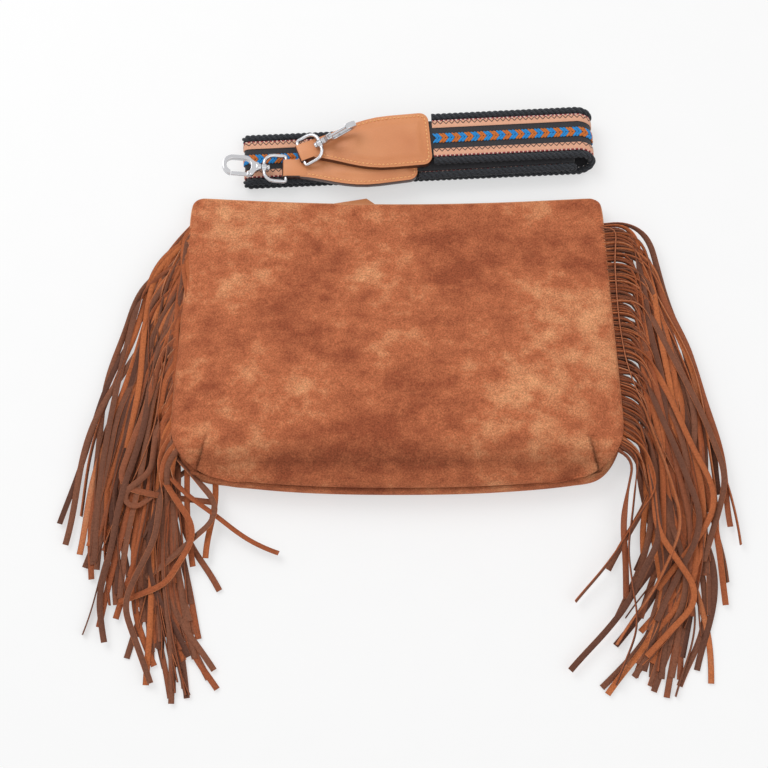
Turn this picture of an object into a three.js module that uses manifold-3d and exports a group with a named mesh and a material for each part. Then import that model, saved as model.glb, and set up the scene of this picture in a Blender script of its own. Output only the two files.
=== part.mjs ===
// A fringed suede shoulder bag lying flat on its front, with its woven shoulder strap unclipped,
// folded in four and laid above the mouth. Millimetres, +Z up, +Y towards the mouth of the bag.
// The origin is on the flat underside that the bag lies on.
import * as THREE from 'three';
import { mergeVertices } from 'three/addons/utils/BufferGeometryUtils.js';
import Module from 'manifold-3d';

const wasm = await Module();
wasm.setup();

// Clearances
const SEAT = 0.3; // between pieces that touch
const RUNNING = 0.2; // round a pin or shank that turns
const OVER = 1; // how far a cut passes the face that it opens

// Bag body
const TOP_HALF = 157; // half width at the mouth
const BASE_HALF = 169; // half width just above the base
const BASE_Y = -113; // lowest point of the base seam
const BASE_SAG = 14; // how far the base seam rises towards the corners
const MOUTH_Y = 109; // lip of the mouth at its middle
const MOUTH_RISE = 6; // how much higher the lip stands at its ends
const CORNER_R = 34; // radius of the base corners
const EAR = 17; // depth of the free lips above the side seams
const EAR_R = 9; // radius of the lips' corners
const SUEDE = 1.6; // thickness of the suede panels
const RIM = 1; // height of a panel's turned edge above its seam
const SEAM_Z = 11; // height of the side seams
const BASE_SEAM_Z = 20; // height of the base seam
const LIP_Z = 13.2; // outside height of the back panel at the mouth
const BELLY_Z = 37; // outside height of the back panel at its fullest
const BELLY_LOW = 45; // how far above the base the back panel starts to fall towards the mouth
const SIDE_TURN = 9; // width of the back panel's round turn at its sides
const SIDE_SWELL = 84; // width over which it goes on rising from its sides
const BASE_TURN = 12; // the same at the base
const BASE_SWELL = 60;
const FRONT_TURN = 12; // width of the front panel's round turn at its sides
const SEAM_TURN = 46; // height over which the seam falls from the base's height to the sides'
const BASE_BULGE = 6; // how far the front panel swells past the base seam
const DART_IN = 17; // distance of the corner darts from the side seam
const DART_W = 5;
const DART_DEPTH = 4;
const DART_LENGTH = 34;

// Lining
const LINING = 0.7;

// Fringe
const STRANDS = 38; // on each side
const PLY = 0.9; // thickness of the fringe suede
const STRAND_W = 4.6;
const SLIT = 0.25; // between the strands where they leave the band
const STRAND_TOP = 236; // length of the strands by the mouth
const STRAND_BASE = 178; // length of the strands by the base
const FRINGE_TOP_Y = 95;
const FRINGE_BASE_Y = -82;
const BAND_IN = 5; // how far the fringe band reaches into the seam
const BAND_OUT = 1.5;
const ROOT_L = 3; // flat root of a strand
const TWIST_L = 14; // length in which a strand turns onto its edge
const FRINGE_SIDES = {
  left: { sign: -1, bendTop: 50, bendBase: 12, fallTop: 76, fallBase: 92 },
  right: { sign: 1, bendTop: 64, bendBase: 13, fallTop: 78, fallBase: 99 },
};

// Closing tab and magnetic snap in the mouth
const TAB_LEFT = -95;
const TAB_RIGHT = -14;
const TAB_TIP_Y = 118.5; // highest point of the tab
const TAB_DEPTH = 40;
const TAB_TURN = 9.3; // degrees
const TAB_CHAMFER = 9.5;
const TAB_T = 2.2;
const SNAP_Y = 88;
const SNAP_R = 8;
const SNAP_T = 2;
const STUD_R = 3;
const STUD_H = 1.4;

// Side rings in the mouth
const RING_IN = 19; // middle of a side ring from the mouth's end
const RING_Y = 90;
const RING_WIRE = 1;
const RING_W = 17;
const RING_L = 12;
const RING_R = 5; // radius of a ring's corners
const RING_TAB_W = 12;
const RING_TAB_T = 0.9;
const RING_TAB_L = 16;

// Shoulder strap
const STRAP_AT = [0, 153];
const STRAP_TURN = 3;
const WEB_W = 30;
const WEB_T = 2;
const CORD_R = 2.9;
const TRIM_T = 0.7;
const BRAID_W = 7;
const RIBBON_W = 6;
const RIBBON_Y = 9.6; // middle of a ribbon from the middle of the webbing
const LAYER = 2 * CORD_R + SEAT; // height between the folded layers
const FOLD_LEFT_X = -114; // where the strap turns at its left end
const FOLD_RIGHT_X = 141; // where the outer loop turns at its right end
const FOLD_INNER_X = 133;
const FOLD_SIDES = { outerTop: 5, outerBase: -1, left: 0, innerBase: -1, innerTop: -2.5 };

// Leather strap ends
const LEATHER = 1.4; // thickness of one ply
const END_W = 43;
const NECK_W = 15;
const NECK_FLARE = 3; // how far the end's sides stand out past its neck
const END_L = 90;
const END_R = 7; // radius of the end's far corners
const SHOULDER = 60; // where the end reaches its full width
const TONGUE = 48; // length of the webbing inside a leather end
const TONGUE_ROOM = 1.6; // room past the tongue's end
const TRIM_GAP = 2; // from a leather end to the cords and ribbons
const LOOP_W = 13.5;
const LOOP_L = 10;
const LOOP_IN = 6; // how far the loop's tail runs into the neck
const LOOP_T = 1.2;
// Skew, lift and roll are in degrees, and layers count from the lowest.
const UPPER_EYE = { skew: 16, back: false, lift: 24, roll: 106 };
const LOWER_EYE = { skew: -7.8, back: true, lift: 10, roll: 0 };
const STRAP_ENDS = {
  upper: { layer: 3, left: -64, sideLeft: 1.2, sideRight: 4.9, ...UPPER_EYE },
  lower: { layer: 2, left: -76, sideLeft: -11.8, sideRight: -4.2, ...LOWER_EYE },
};

// Snap hooks
const EYE_WIRE = 1.5;
const EYE_W = 21; // between the middles of the eye's arms
const EYE_L = 17; // from the bar to the boss
const EYE_R = 7.5; // radius of the eye's corners
const BOSS_R = 2.8;
const BOSS_L = 4;
const SHANK_R = 1.4;
const HEAD_R = 2.4;
const HEAD_L = 2;
const HOOK_T = 4.4;
const HOOK_R = 8.2; // outer radius of the hook's round end
const HOOK_L = 32;
const HOOK_BAR = 3.1;
const HOOK_START = 4; // where the hook's flat body begins
const HOOK_NECK = 3; // its half width there
const HOOK_SHOULDER = 15; // where it reaches its full width
const HOLE_X = 10; // where its hole begins
const COLLAR_IN = 1.5; // how far the round collar runs into the flat body
const GATE_T = 1.6;
const GATE_X = 11.5;
const GATE_PAST = 2; // how far the gate reaches past the middle of the round end
const GATE_PIN_R = 0.7;

const rad = THREE.MathUtils.degToRad;
const lerp = THREE.MathUtils.lerp;
const smooth = (x, low, high) => THREE.MathUtils.smoothstep(x, low, high);
const vec = (x, y, z) => new THREE.Vector3(x, y, z);

// Finishes
const finish = (color, roughness, metalness = 0) =>
  new THREE.MeshStandardMaterial({ color, roughness, metalness });
const suede = finish(0xa85a30, 0.95);
const fringeSuede = finish(0x7c4027, 0.9);
const liningCloth = finish(0x6b4a36, 0.9);
const leather = finish(0xb9713f, 0.55);
const blackYarn = finish(0x22252c, 0.9);
const greyWeave = finish(0x3b3b41, 0.9);
const peachYarn = finish(0xe8b391, 0.85);
const blueOrangeYarn = finish(0x2a86c4, 0.85);
const nickel = finish(0xd9dade, 0.2, 1);

// Geometry helpers

// The volume a closed triangle list holds, negative when its faces point inwards.
function signedVolume(points, faces) {
  const cross = new THREE.Vector3();
  return faces.reduce(
    (sum, [a, b, c]) => sum + points[a].dot(cross.crossVectors(points[b], points[c])) / 6,
    0,
  );
}

// A closed geometry from shared points and triangles, turned so that its faces point out.
function closed(points, faces) {
  const facing = signedVolume(points, faces) < 0 ? faces.map(([a, b, c]) => [a, c, b]) : faces;
  const geometry = new THREE.BufferGeometry().setFromPoints(points);
  return geometry.setIndex(facing.flat());
}

// A closed body between two grids of points with the same rows and columns.
function slab(outer, inner) {
  const rows = outer.length;
  const columns = outer[0].length;
  const points = [...outer.flat(), ...inner.flat()];
  const at = (side, i, j) => side * rows * columns + i * columns + j;
  const faces = [];
  const quad = (a, b, c, d) => faces.push([a, b, c], [a, c, d]);
  for (let i = 0; i + 1 < rows; i++) {
    for (let j = 0; j + 1 < columns; j++) {
      quad(at(0, i, j), at(0, i, j + 1), at(0, i + 1, j + 1), at(0, i + 1, j));
      quad(at(1, i, j), at(1, i + 1, j), at(1, i + 1, j + 1), at(1, i, j + 1));
    }
    quad(at(0, i, 0), at(0, i + 1, 0), at(1, i + 1, 0), at(1, i, 0));
    const last = columns - 1;
    quad(at(0, i, last), at(1, i, last), at(1, i + 1, last), at(0, i + 1, last));
  }
  for (let j = 0; j + 1 < columns; j++) {
    quad(at(0, 0, j), at(1, 0, j), at(1, 0, j + 1), at(0, 0, j + 1));
    const last = rows - 1;
    quad(at(0, last, j), at(0, last, j + 1), at(1, last, j + 1), at(1, last, j));
  }
  return closed(points, faces);
}

// A closed body through rings of points, open along its path or joined into a loop.
function loft(rings, loop = false) {
  const sides = rings[0].length;
  const faces = [];
  const spans = loop ? rings.length : rings.length - 1;
  for (let i = 0; i < spans; i++) {
    const a = i * sides;
    const b = ((i + 1) % rings.length) * sides;
    for (let j = 0; j < sides; j++) {
      const k = (j + 1) % sides;
      faces.push([a + j, a + k, b + k], [a + j, b + k, b + j]);
    }
  }
  if (!loop) {
    const end = (rings.length - 1) * sides;
    for (let j = 1; j + 1 < sides; j++) {
      faces.push([0, j + 1, j], [end, end + j, end + j + 1]);
    }
  }
  return closed(rings.flat(), faces);
}

// A flat outline with rounded or straight sides, extruded upwards from a height.
function plate(shape, thickness, low = 0, curveSegments = 6) {
  const geometry = new THREE.ExtrudeGeometry(shape, {
    depth: thickness,
    bevelEnabled: false,
    curveSegments,
  });
  return geometry.translate(0, 0, low);
}

const outline = (pairs) => new THREE.Shape(pairs.map(([x, y]) => new THREE.Vector2(x, y)));
const block = (x0, x1, y0, y1, z0, z1) =>
  new THREE.BoxGeometry(x1 - x0, y1 - y0, z1 - z0).translate(
    (x0 + x1) / 2,
    (y0 + y1) / 2,
    (z0 + z1) / 2,
  );
const rod = (radius, length, sides = 16) =>
  new THREE.CylinderGeometry(radius, radius, length, sides);

function solid(geometry) {
  const bare = geometry.clone();
  bare.deleteAttribute('normal');
  bare.deleteAttribute('uv');
  const merged = mergeVertices(bare, 1e-4);
  const made = new wasm.Manifold(
    new wasm.Mesh({
      numProp: 3,
      vertProperties: new Float32Array(merged.attributes.position.array),
      triVerts: new Uint32Array(merged.index.array),
    }),
  );
  return made;
}

function geometryOf(made) {
  const mesh = made.getMesh();
  const geometry = new THREE.BufferGeometry();
  geometry.setAttribute('position', new THREE.BufferAttribute(mesh.vertProperties, 3));
  return geometry.setIndex(new THREE.BufferAttribute(mesh.triVerts, 1));
}

const join = (...parts) => geometryOf(parts.map(solid).reduce((a, b) => a.add(b)));
const cut = (body, ...tools) => geometryOf(tools.map(solid).reduce((a, b) => a.subtract(b), solid(body)));

const bag = new THREE.Group();
function place(parent, name, geometry, material) {
  const mesh = new THREE.Mesh(geometry, material);
  mesh.name = name;
  parent.add(mesh);
  return mesh;
}

// The bag's outline and its two suede panels

// How far a corner's arc has drawn in at a distance from its end.
function drawnIn(radius, distance) {
  const rest = radius - Math.max(0, Math.min(radius, distance));
  return radius - Math.sqrt(radius ** 2 - rest ** 2);
}
// Half width of the body at a height above the base seam.
function halfWidth(aboveBase) {
  const full = MOUTH_Y - BASE_Y;
  const straight = lerp(BASE_HALF, TOP_HALF, aboveBase / full);
  return straight - drawnIn(CORNER_R, aboveBase) - drawnIn(EAR_R, full - aboveBase);
}
const mouthY = (x) => MOUTH_Y + MOUTH_RISE * (x / TOP_HALF) ** 2;
const baseY = (x) => BASE_Y + BASE_SAG * Math.abs(x / BASE_HALF) ** 2.6;
const rounded = (t) => Math.sqrt(1 - (1 - Math.min(1, Math.max(0, t))) ** 2);

// Rows run from the base to the mouth and columns from the left seam to the right one.
const EDGE_STEPS = [0, 0.8, 3, 8, 17, 30, 52, 88];
const MIDDLE_SHARES = [-0.2, 0, 0.2];
const MOUTH_STEPS = [78, 48, 29, EAR + 1, 13, 6, 2, 0];
const LINING_STEP = 3; // the lining starts at this row and column

const panelSpots = [
  ...EDGE_STEPS.map((above) => ({ above, below: Infinity })),
  ...MOUTH_STEPS.map((below) => ({ above: MOUTH_Y - BASE_Y - below, below })),
].map(({ above, below }, row) => {
  const half = halfWidth(above);
  const columns = [
    ...EDGE_STEPS.map((inside) => ({ inside, x: inside - half })),
    ...MIDDLE_SHARES.map((share) => ({ inside: half, x: share * half })),
    ...EDGE_STEPS.map((inside) => ({ inside, x: half - inside })).reverse(),
  ];
  return columns.map(({ inside, x }) => {
    const curve = below === Infinity ? baseY(x) : mouthY(x) - MOUTH_Y + BASE_Y;
    return { x, y: curve + above, inside, above, below, row };
  });
});

function seamHeight(above) {
  return lerp(BASE_SEAM_Z, SEAM_Z, smooth(above, 0.1 * SEAM_TURN, SEAM_TURN));
}
// The gap between the panels in the seam: the fringe band goes through it at the sides.
function seamOpening(above) {
  return lerp(SEAT, PLY + 2 * SEAT, smooth(above, 0.1 * SEAM_TURN, 0.4 * SEAM_TURN));
}

function dart({ above, inside }) {
  const off = (inside - DART_IN) / DART_W;
  return DART_DEPTH * Math.exp(-off * off) * (1 - smooth(above, 0.2 * DART_LENGTH, DART_LENGTH));
}

// A rise from 0 to 1: a share of it in a round turn and the rest in a long swell.
function swell(distance, turn, length, turnShare) {
  const long = Math.sin((Math.PI / 2) * Math.min(1, distance / length));
  return lerp(long, rounded(distance / turn), turnShare);
}
function backHeight(spot) {
  const edge = seamHeight(spot.above) + seamOpening(spot.above) / 2 + RIM;
  const low = spot.below <= EAR ? LIP_Z - RIM : edge;
  const full = lerp(BELLY_Z, LIP_Z, smooth(spot.above, BELLY_LOW, MOUTH_Y - BASE_Y - EAR_R));
  const fall = swell(spot.inside, SIDE_TURN, SIDE_SWELL, 0.3);
  const rise = swell(spot.above, BASE_TURN, BASE_SWELL, 0.55);
  const rim = spot.inside === 0 || spot.above === 0;
  return low + Math.max(0, full - low) * fall * rise - (rim ? 0 : dart(spot));
}

// How far each of the front panel's lowest rows lies from the base seam, and its share of the
// seam's height.
const FRONT_BASE = [
  { step: 0, share: 1 },
  { step: -0.75 * BASE_BULGE, share: 0.8 },
  { step: -BASE_BULGE, share: 0.5 },
  { step: -0.7 * BASE_BULGE, share: 0.18 },
  { step: 0.7 * BASE_BULGE, share: 0.02 },
];
function frontHeight(spot) {
  const edge = seamHeight(spot.above) - seamOpening(spot.above) / 2 - RIM;
  const high = spot.below <= EAR ? 0 : edge;
  const sideShare = 1 - rounded(spot.inside / FRONT_TURN);
  const baseShare = FRONT_BASE[spot.row]?.share ?? 0;
  return high * (1 - (1 - sideShare) * (1 - baseShare));
}
function frontY(spot) {
  const base = FRONT_BASE[spot.row];
  return base ? spot.y + (base.step - spot.above) * rounded(spot.inside / FRONT_TURN) : spot.y;
}

// A grid moved along its own normals; side is 1 for up and -1 for down.
function inset(grid, distance, side) {
  const edge = (a, b) => new THREE.Vector3().subVectors(b, a);
  return grid.map((row, i) =>
    row.map((point, j) => {
      const across = edge(row[Math.max(j - 1, 0)], row[Math.min(j + 1, row.length - 1)]);
      const along = edge(grid[Math.max(i - 1, 0)][j], grid[Math.min(i + 1, grid.length - 1)][j]);
      return point.clone().addScaledVector(across.cross(along).normalize(), side * distance);
    }),
  );
}

// A panel's inside, kept to its own side of the seam.
function insideOf(grid, side) {
  return inset(grid, SUEDE, side).map((row, i) =>
    row.map((point, j) => {
      const { above, below } = panelSpots[i][j];
      const limit = seamHeight(above) - (side * seamOpening(above)) / 2;
      if (below <= EAR) return point;
      const z = side < 0 ? Math.max(point.z, limit) : Math.min(point.z, limit);
      return vec(point.x, point.y, z);
    }),
  );
}

const backOutside = panelSpots.map((row) => row.map((spot) => vec(spot.x, spot.y, backHeight(spot))));
const frontOutside = panelSpots.map((row) =>
  row.map((spot) => vec(spot.x, frontY(spot), frontHeight(spot))),
);
place(bag, 'back_panel', slab(backOutside, insideOf(backOutside, -1)), suede);
place(bag, 'front_panel', slab(frontOutside, insideOf(frontOutside, 1)), suede);

// The lining's two halves lie against the panels.
function liningOf(grid, side) {
  const trim = (points) => points.slice(LINING_STEP).map((row) => row.slice(LINING_STEP, -LINING_STEP));
  const near = trim(inset(grid, SUEDE + SEAT, side));
  return slab(near, trim(inset(grid, SUEDE + SEAT + LINING, side)));
}
place(bag, 'lining_back', liningOf(backOutside, -1), liningCloth);
place(bag, 'lining_front', liningOf(frontOutside, 1), liningCloth);
const FLOOR_IN = SUEDE + SEAT + LINING; // top of the front lining
const ROOF_IN = LIP_Z - FLOOR_IN; // underside of the back lining at the mouth

// The side seam: its half width and height at each row, and between the rows.
const seamRows = panelSpots
  .map(([{ x, y, above, below }]) => ({ half: -x, y, z: seamHeight(above), below }))
  .filter(({ below }) => below > EAR);
function seamAt(y) {
  const next = Math.max(1, seamRows.findIndex((row) => row.y >= y));
  const low = seamRows[next - 1];
  const high = seamRows[next];
  const share = (y - low.y) / (high.y - low.y);
  return { half: lerp(low.half, high.half, share), z: lerp(low.z, high.z, share) };
}

// Fringe: a band in the side seam, cut into strands that turn onto their edges, bend round and
// fall towards the base.
function strand(sign, share, { bendTop, bendBase, fallTop, fallBase }) {
  const pitch = (FRINGE_TOP_Y - FRINGE_BASE_Y) / STRANDS;
  const y = FRINGE_TOP_Y - (share * (STRANDS - 1) + 0.5) * pitch;
  const root = seamAt(y);
  const length = lerp(STRAND_TOP, STRAND_BASE, share);
  const bend = lerp(bendTop, bendBase, share);
  const fall = rad(lerp(fallTop, fallBase, share));
  const arc = bend * fall;
  const calm = arc + TWIST_L;
  const turning = [lerp(TWIST_L, calm, 0.35), lerp(TWIST_L, calm, 0.7), calm];
  const stops = [-BAND_OUT, ROOT_L, TWIST_L, ...turning, lerp(calm, length, 0.4), length];
  const x = root.half + BAND_OUT;
  const at = (s) => {
    const turned = Math.min(Math.max(s, 0), arc) / bend;
    const past = Math.max(0, s - arc);
    const out = x + Math.min(s, 0) + bend * Math.sin(turned) + past * Math.cos(fall);
    const down = bend * (1 - Math.cos(turned)) + past * Math.sin(fall);
    const z = lerp(root.z, STRAND_W / 2 + SEAT, smooth(s, ROOT_L, calm + TWIST_L));
    return { point: vec(sign * out, y - down, z), heading: turned };
  };
  const rings = stops.map((s) => {
    const { point, heading } = at(s);
    const twist = (Math.PI / 2) * smooth(s, 0, TWIST_L);
    const sideways = vec(sign * Math.sin(heading), Math.cos(heading), 0);
    const wide = lerp(pitch - SLIT, STRAND_W, smooth(s, ROOT_L, TWIST_L));
    const across = sideways.clone().multiplyScalar(Math.cos(twist)).add(vec(0, 0, Math.sin(twist)));
    const through = sideways.multiplyScalar(-Math.sin(twist)).add(vec(0, 0, Math.cos(twist)));
    const corner = (a, b) =>
      point.clone().addScaledVector(across, (a * wide) / 2).addScaledVector(through, (b * PLY) / 2);
    return [corner(-1, -1), corner(1, -1), corner(1, 1), corner(-1, 1)];
  });
  return loft(rings);
}

function fringeBand(sign) {
  const between = seamRows.map(({ y }) => y).filter((y) => y > FRINGE_BASE_Y && y < FRINGE_TOP_Y);
  const rings = [FRINGE_BASE_Y, ...between, FRINGE_TOP_Y].map((y) => {
    const { half, z } = seamAt(y);
    const corner = (x, dz) => vec(sign * x, y, z + dz);
    return [
      corner(half - BAND_IN, -PLY / 2),
      corner(half + BAND_OUT, -PLY / 2),
      corner(half + BAND_OUT, PLY / 2),
      corner(half - BAND_IN, PLY / 2),
    ];
  });
  return loft(rings);
}

for (const [side, shape] of Object.entries(FRINGE_SIDES)) {
  const strands = [];
  for (let i = 0; i < STRANDS; i++) strands.push(strand(shape.sign, i / (STRANDS - 1), shape));
  place(bag, `fringe_${side}`, join(fringeBand(shape.sign), ...strands), fringeSuede);
}

// Closing tab: a leather tab sewn to the front lining, its chamfered corner standing out of the
// mouth.
const tabRun = (TAB_RIGHT - TAB_LEFT) / Math.cos(rad(TAB_TURN));
const tabShape = outline([
  [0, -TAB_DEPTH],
  [tabRun, -TAB_DEPTH],
  [tabRun, -TAB_CHAMFER],
  [tabRun - TAB_CHAMFER, 0],
  [0, 0],
]);
const tab = place(bag, 'closing_tab', plate(tabShape, TAB_T, FLOOR_IN + SEAT), leather);
tab.rotation.z = rad(TAB_TURN);
tab.position.set(TAB_LEFT, TAB_TIP_Y - tabRun * Math.sin(rad(TAB_TURN)), 0);

// Magnetic snap: a socket plate on the front lining and a stud plate on the back lining.
const upright = (geometry, x, y, z) => geometry.rotateX(Math.PI / 2).translate(x, y, z);
const socketDisc = upright(rod(SNAP_R, SNAP_T), 0, SNAP_Y, FLOOR_IN + SEAT + SNAP_T / 2);
const socketWell = upright(rod(STUD_R + RUNNING, SNAP_T), 0, SNAP_Y, FLOOR_IN + SEAT + SNAP_T);
place(bag, 'snap_socket', cut(socketDisc, socketWell), nickel);
const snapRoof = ROOF_IN - SEAT;
const studDisc = upright(rod(SNAP_R, SNAP_T), 0, SNAP_Y, snapRoof - SNAP_T / 2);
const stud = upright(rod(STUD_R, STUD_H + SNAP_T), 0, SNAP_Y, snapRoof - (SNAP_T + STUD_H) / 2);
place(bag, 'snap_stud', join(studDisc, stud), nickel);

// A wire bent round a rectangle with rounded corners, in the XY plane, its first side on the Y axis.
function wireLoop(width, length, corner, wire) {
  const rings = [];
  const corners = [
    { x: length - corner, y: width / 2 - corner, from: 90 },
    { x: length - corner, y: corner - width / 2, from: 0 },
    { x: wire, y: wire - width / 2, from: -90, small: true },
    { x: wire, y: width / 2 - wire, from: 180, small: true },
  ];
  const radiusOf = (c) => (c.small ? wire : corner);
  for (const c of corners) {
    const spans = c.small ? 2 : 4;
    for (let i = 0; i <= spans; i++) {
      const angle = rad(c.from - (90 * i) / spans);
      const out = vec(Math.cos(angle), Math.sin(angle), 0);
      const centre = vec(c.x, c.y, 0).addScaledVector(out, radiusOf(c));
      const ring = [];
      for (let k = 0; k < 8; k++) {
        const turn = rad(45 * k + 22.5);
        ring.push(
          centre.clone().addScaledVector(out, wire * Math.cos(turn)).add(vec(0, 0, wire * Math.sin(turn))),
        );
      }
      rings.push(ring);
    }
  }
  return loft(rings, true);
}

// A leather strip folded round a bar: its tail runs to +X from the bar, which lies on the Y axis.
function foldedLoop(width, tail, barR, thickness) {
  const outer = barR + RUNNING + thickness;
  const round = rod(outer, width);
  const strip = block(0, tail, -width / 2, width / 2, -outer, outer);
  return cut(join(round, strip), rod(barR + RUNNING, width + 2 * OVER));
}

// Side rings: two rings in leather tabs inside the ends of the mouth, for the strap's hooks.
const ringZ = FLOOR_IN + SEAT + RING_WIRE + RUNNING + RING_TAB_T;
for (const [side, sign] of [['left', -1], ['right', 1]]) {
  const holder = new THREE.Group();
  holder.position.set(sign * (TOP_HALF - RING_IN), RING_Y, ringZ);
  holder.rotation.z = Math.PI / 2;
  bag.add(holder);
  place(holder, `side_ring_${side}`, wireLoop(RING_W, RING_L, RING_R, RING_WIRE), nickel);
  const loop = foldedLoop(RING_TAB_W, RING_TAB_L, RING_WIRE, RING_TAB_T).rotateZ(Math.PI);
  place(holder, `ring_tab_${side}`, loop, leather);
}

// Shoulder strap
const strap = new THREE.Group();
strap.position.set(STRAP_AT[0], STRAP_AT[1], 0);
strap.rotation.z = rad(STRAP_TURN);
bag.add(strap);
const layerZ = (layer) => CORD_R + layer * LAYER;
const endSide = (end, along) => lerp(end.sideLeft, end.sideRight, along / END_L);

// The strap's line from the upper leather end to the lower one, both with the given tuck inside
// the leather. Tilt is the turn of the patterned face from straight up, towards +X.
function strapRoute(tuck) {
  const { upper, lower } = STRAP_ENDS;
  const route = [];
  const add = (x, z, side, tilt) => route.push({ x, z, side, tilt: rad(tilt) });
  const fold = (x, layer, radius, from, to, sideFrom, sideTo, turnedIn) => {
    const spans = radius > LAYER ? 8 : 6;
    for (let i = 0; i <= spans; i++) {
      const tilt = lerp(from, to, i / spans);
      const reach = turnedIn ? -radius : radius;
      const dx = reach * Math.sin(rad(tilt));
      const dz = reach * Math.cos(rad(tilt));
      add(x + dx, layerZ(layer) + dz, lerp(sideFrom, sideTo, i / spans), tilt);
    }
  };
  const from = END_L - tuck;
  add(upper.left + from, layerZ(upper.layer), endSide(upper, from), 0);
  if (tuck > 0) add(upper.left + END_L, layerZ(upper.layer), upper.sideRight, 0);
  const sides = FOLD_SIDES;
  fold(FOLD_RIGHT_X, 1.5, 1.5 * LAYER, 0, 180, sides.outerTop, sides.outerBase, false);
  fold(FOLD_LEFT_X, 0.5, 0.5 * LAYER, 180, 360, sides.left, sides.left, false);
  fold(FOLD_INNER_X, 1.5, 0.5 * LAYER, 360, 180, sides.innerBase, sides.innerTop, true);
  if (tuck > 0) add(lower.left + END_L, layerZ(lower.layer), lower.sideRight, 180);
  add(lower.left + from, layerZ(lower.layer), endSide(lower, from), 180);
  return route;
}

// A section of [across, proud] points carried along the strap's line.
function alongStrap(section, tuck) {
  const rings = strapRoute(tuck).map(({ x, z, side, tilt }) =>
    section.map(([across, proud]) =>
      vec(x + proud * Math.sin(tilt), side + across, z + proud * Math.cos(tilt)),
    ),
  );
  return loft(rings);
}
const band = (middle, width, low, high) => [
  [middle - width / 2, low],
  [middle + width / 2, low],
  [middle + width / 2, high],
  [middle - width / 2, high],
];
const round8 = (middle, radius) =>
  Array.from({ length: 8 }, (_, k) => {
    const turn = rad(45 * k + 22.5);
    return [middle + radius * Math.cos(turn), radius * Math.sin(turn)];
  });

place(strap, 'strap_webbing', alongStrap(band(0, WEB_W, -WEB_T / 2, WEB_T / 2), TONGUE), greyWeave);
const cordAt = WEB_W / 2 + SEAT + CORD_R;
place(strap, 'edge_cord_far', alongStrap(round8(cordAt, CORD_R), -TRIM_GAP), blackYarn);
place(strap, 'edge_cord_near', alongStrap(round8(-cordAt, CORD_R), -TRIM_GAP), blackYarn);
const trimLow = WEB_T / 2 + SEAT;
const trim = (middle, width) => alongStrap(band(middle, width, trimLow, trimLow + TRIM_T), -TRIM_GAP);
place(strap, 'chevron_braid', trim(0, BRAID_W), blueOrangeYarn);
place(strap, 'ribbon_far', trim(RIBBON_Y, RIBBON_W), peachYarn);
place(strap, 'ribbon_near', trim(-RIBBON_Y, RIBBON_W), peachYarn);

// Leather end: one leather piece folded round the eye's bar and sewn on both sides of the webbing.
function leatherEnd(skew) {
  const half = END_W / 2;
  const neck = NECK_W / 2;
  const flare = neck + NECK_FLARE;
  const shape = new THREE.Shape();
  shape.moveTo(0, -neck);
  shape.bezierCurveTo(0.3 * SHOULDER, -flare, 0.55 * SHOULDER, -half, SHOULDER, -half);
  shape.lineTo(END_L - END_R, -half);
  shape.absarc(END_L - END_R, END_R - half, END_R, -Math.PI / 2, 0, false);
  shape.absarc(END_L - END_R, half - END_R, END_R, 0, Math.PI / 2, false);
  shape.lineTo(SHOULDER, half);
  shape.bezierCurveTo(0.55 * SHOULDER, half, 0.3 * SHOULDER, flare, 0, neck);
  const slotZ = WEB_T / 2 + SEAT;
  const endZ = slotZ + LEATHER;
  const slotY = WEB_W / 2 + SEAT;
  const slot = block(END_L - TONGUE - TONGUE_ROOM, END_L + OVER, -slotY, slotY, -slotZ, slotZ);
  const loop = foldedLoop(LOOP_W, LOOP_L + LOOP_IN, EYE_WIRE, LOOP_T);
  loop.translate(-LOOP_L, 0, 0).rotateZ(rad(skew));
  return cut(join(plate(shape, 2 * endZ, -endZ, 8), loop), slot);
}

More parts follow.
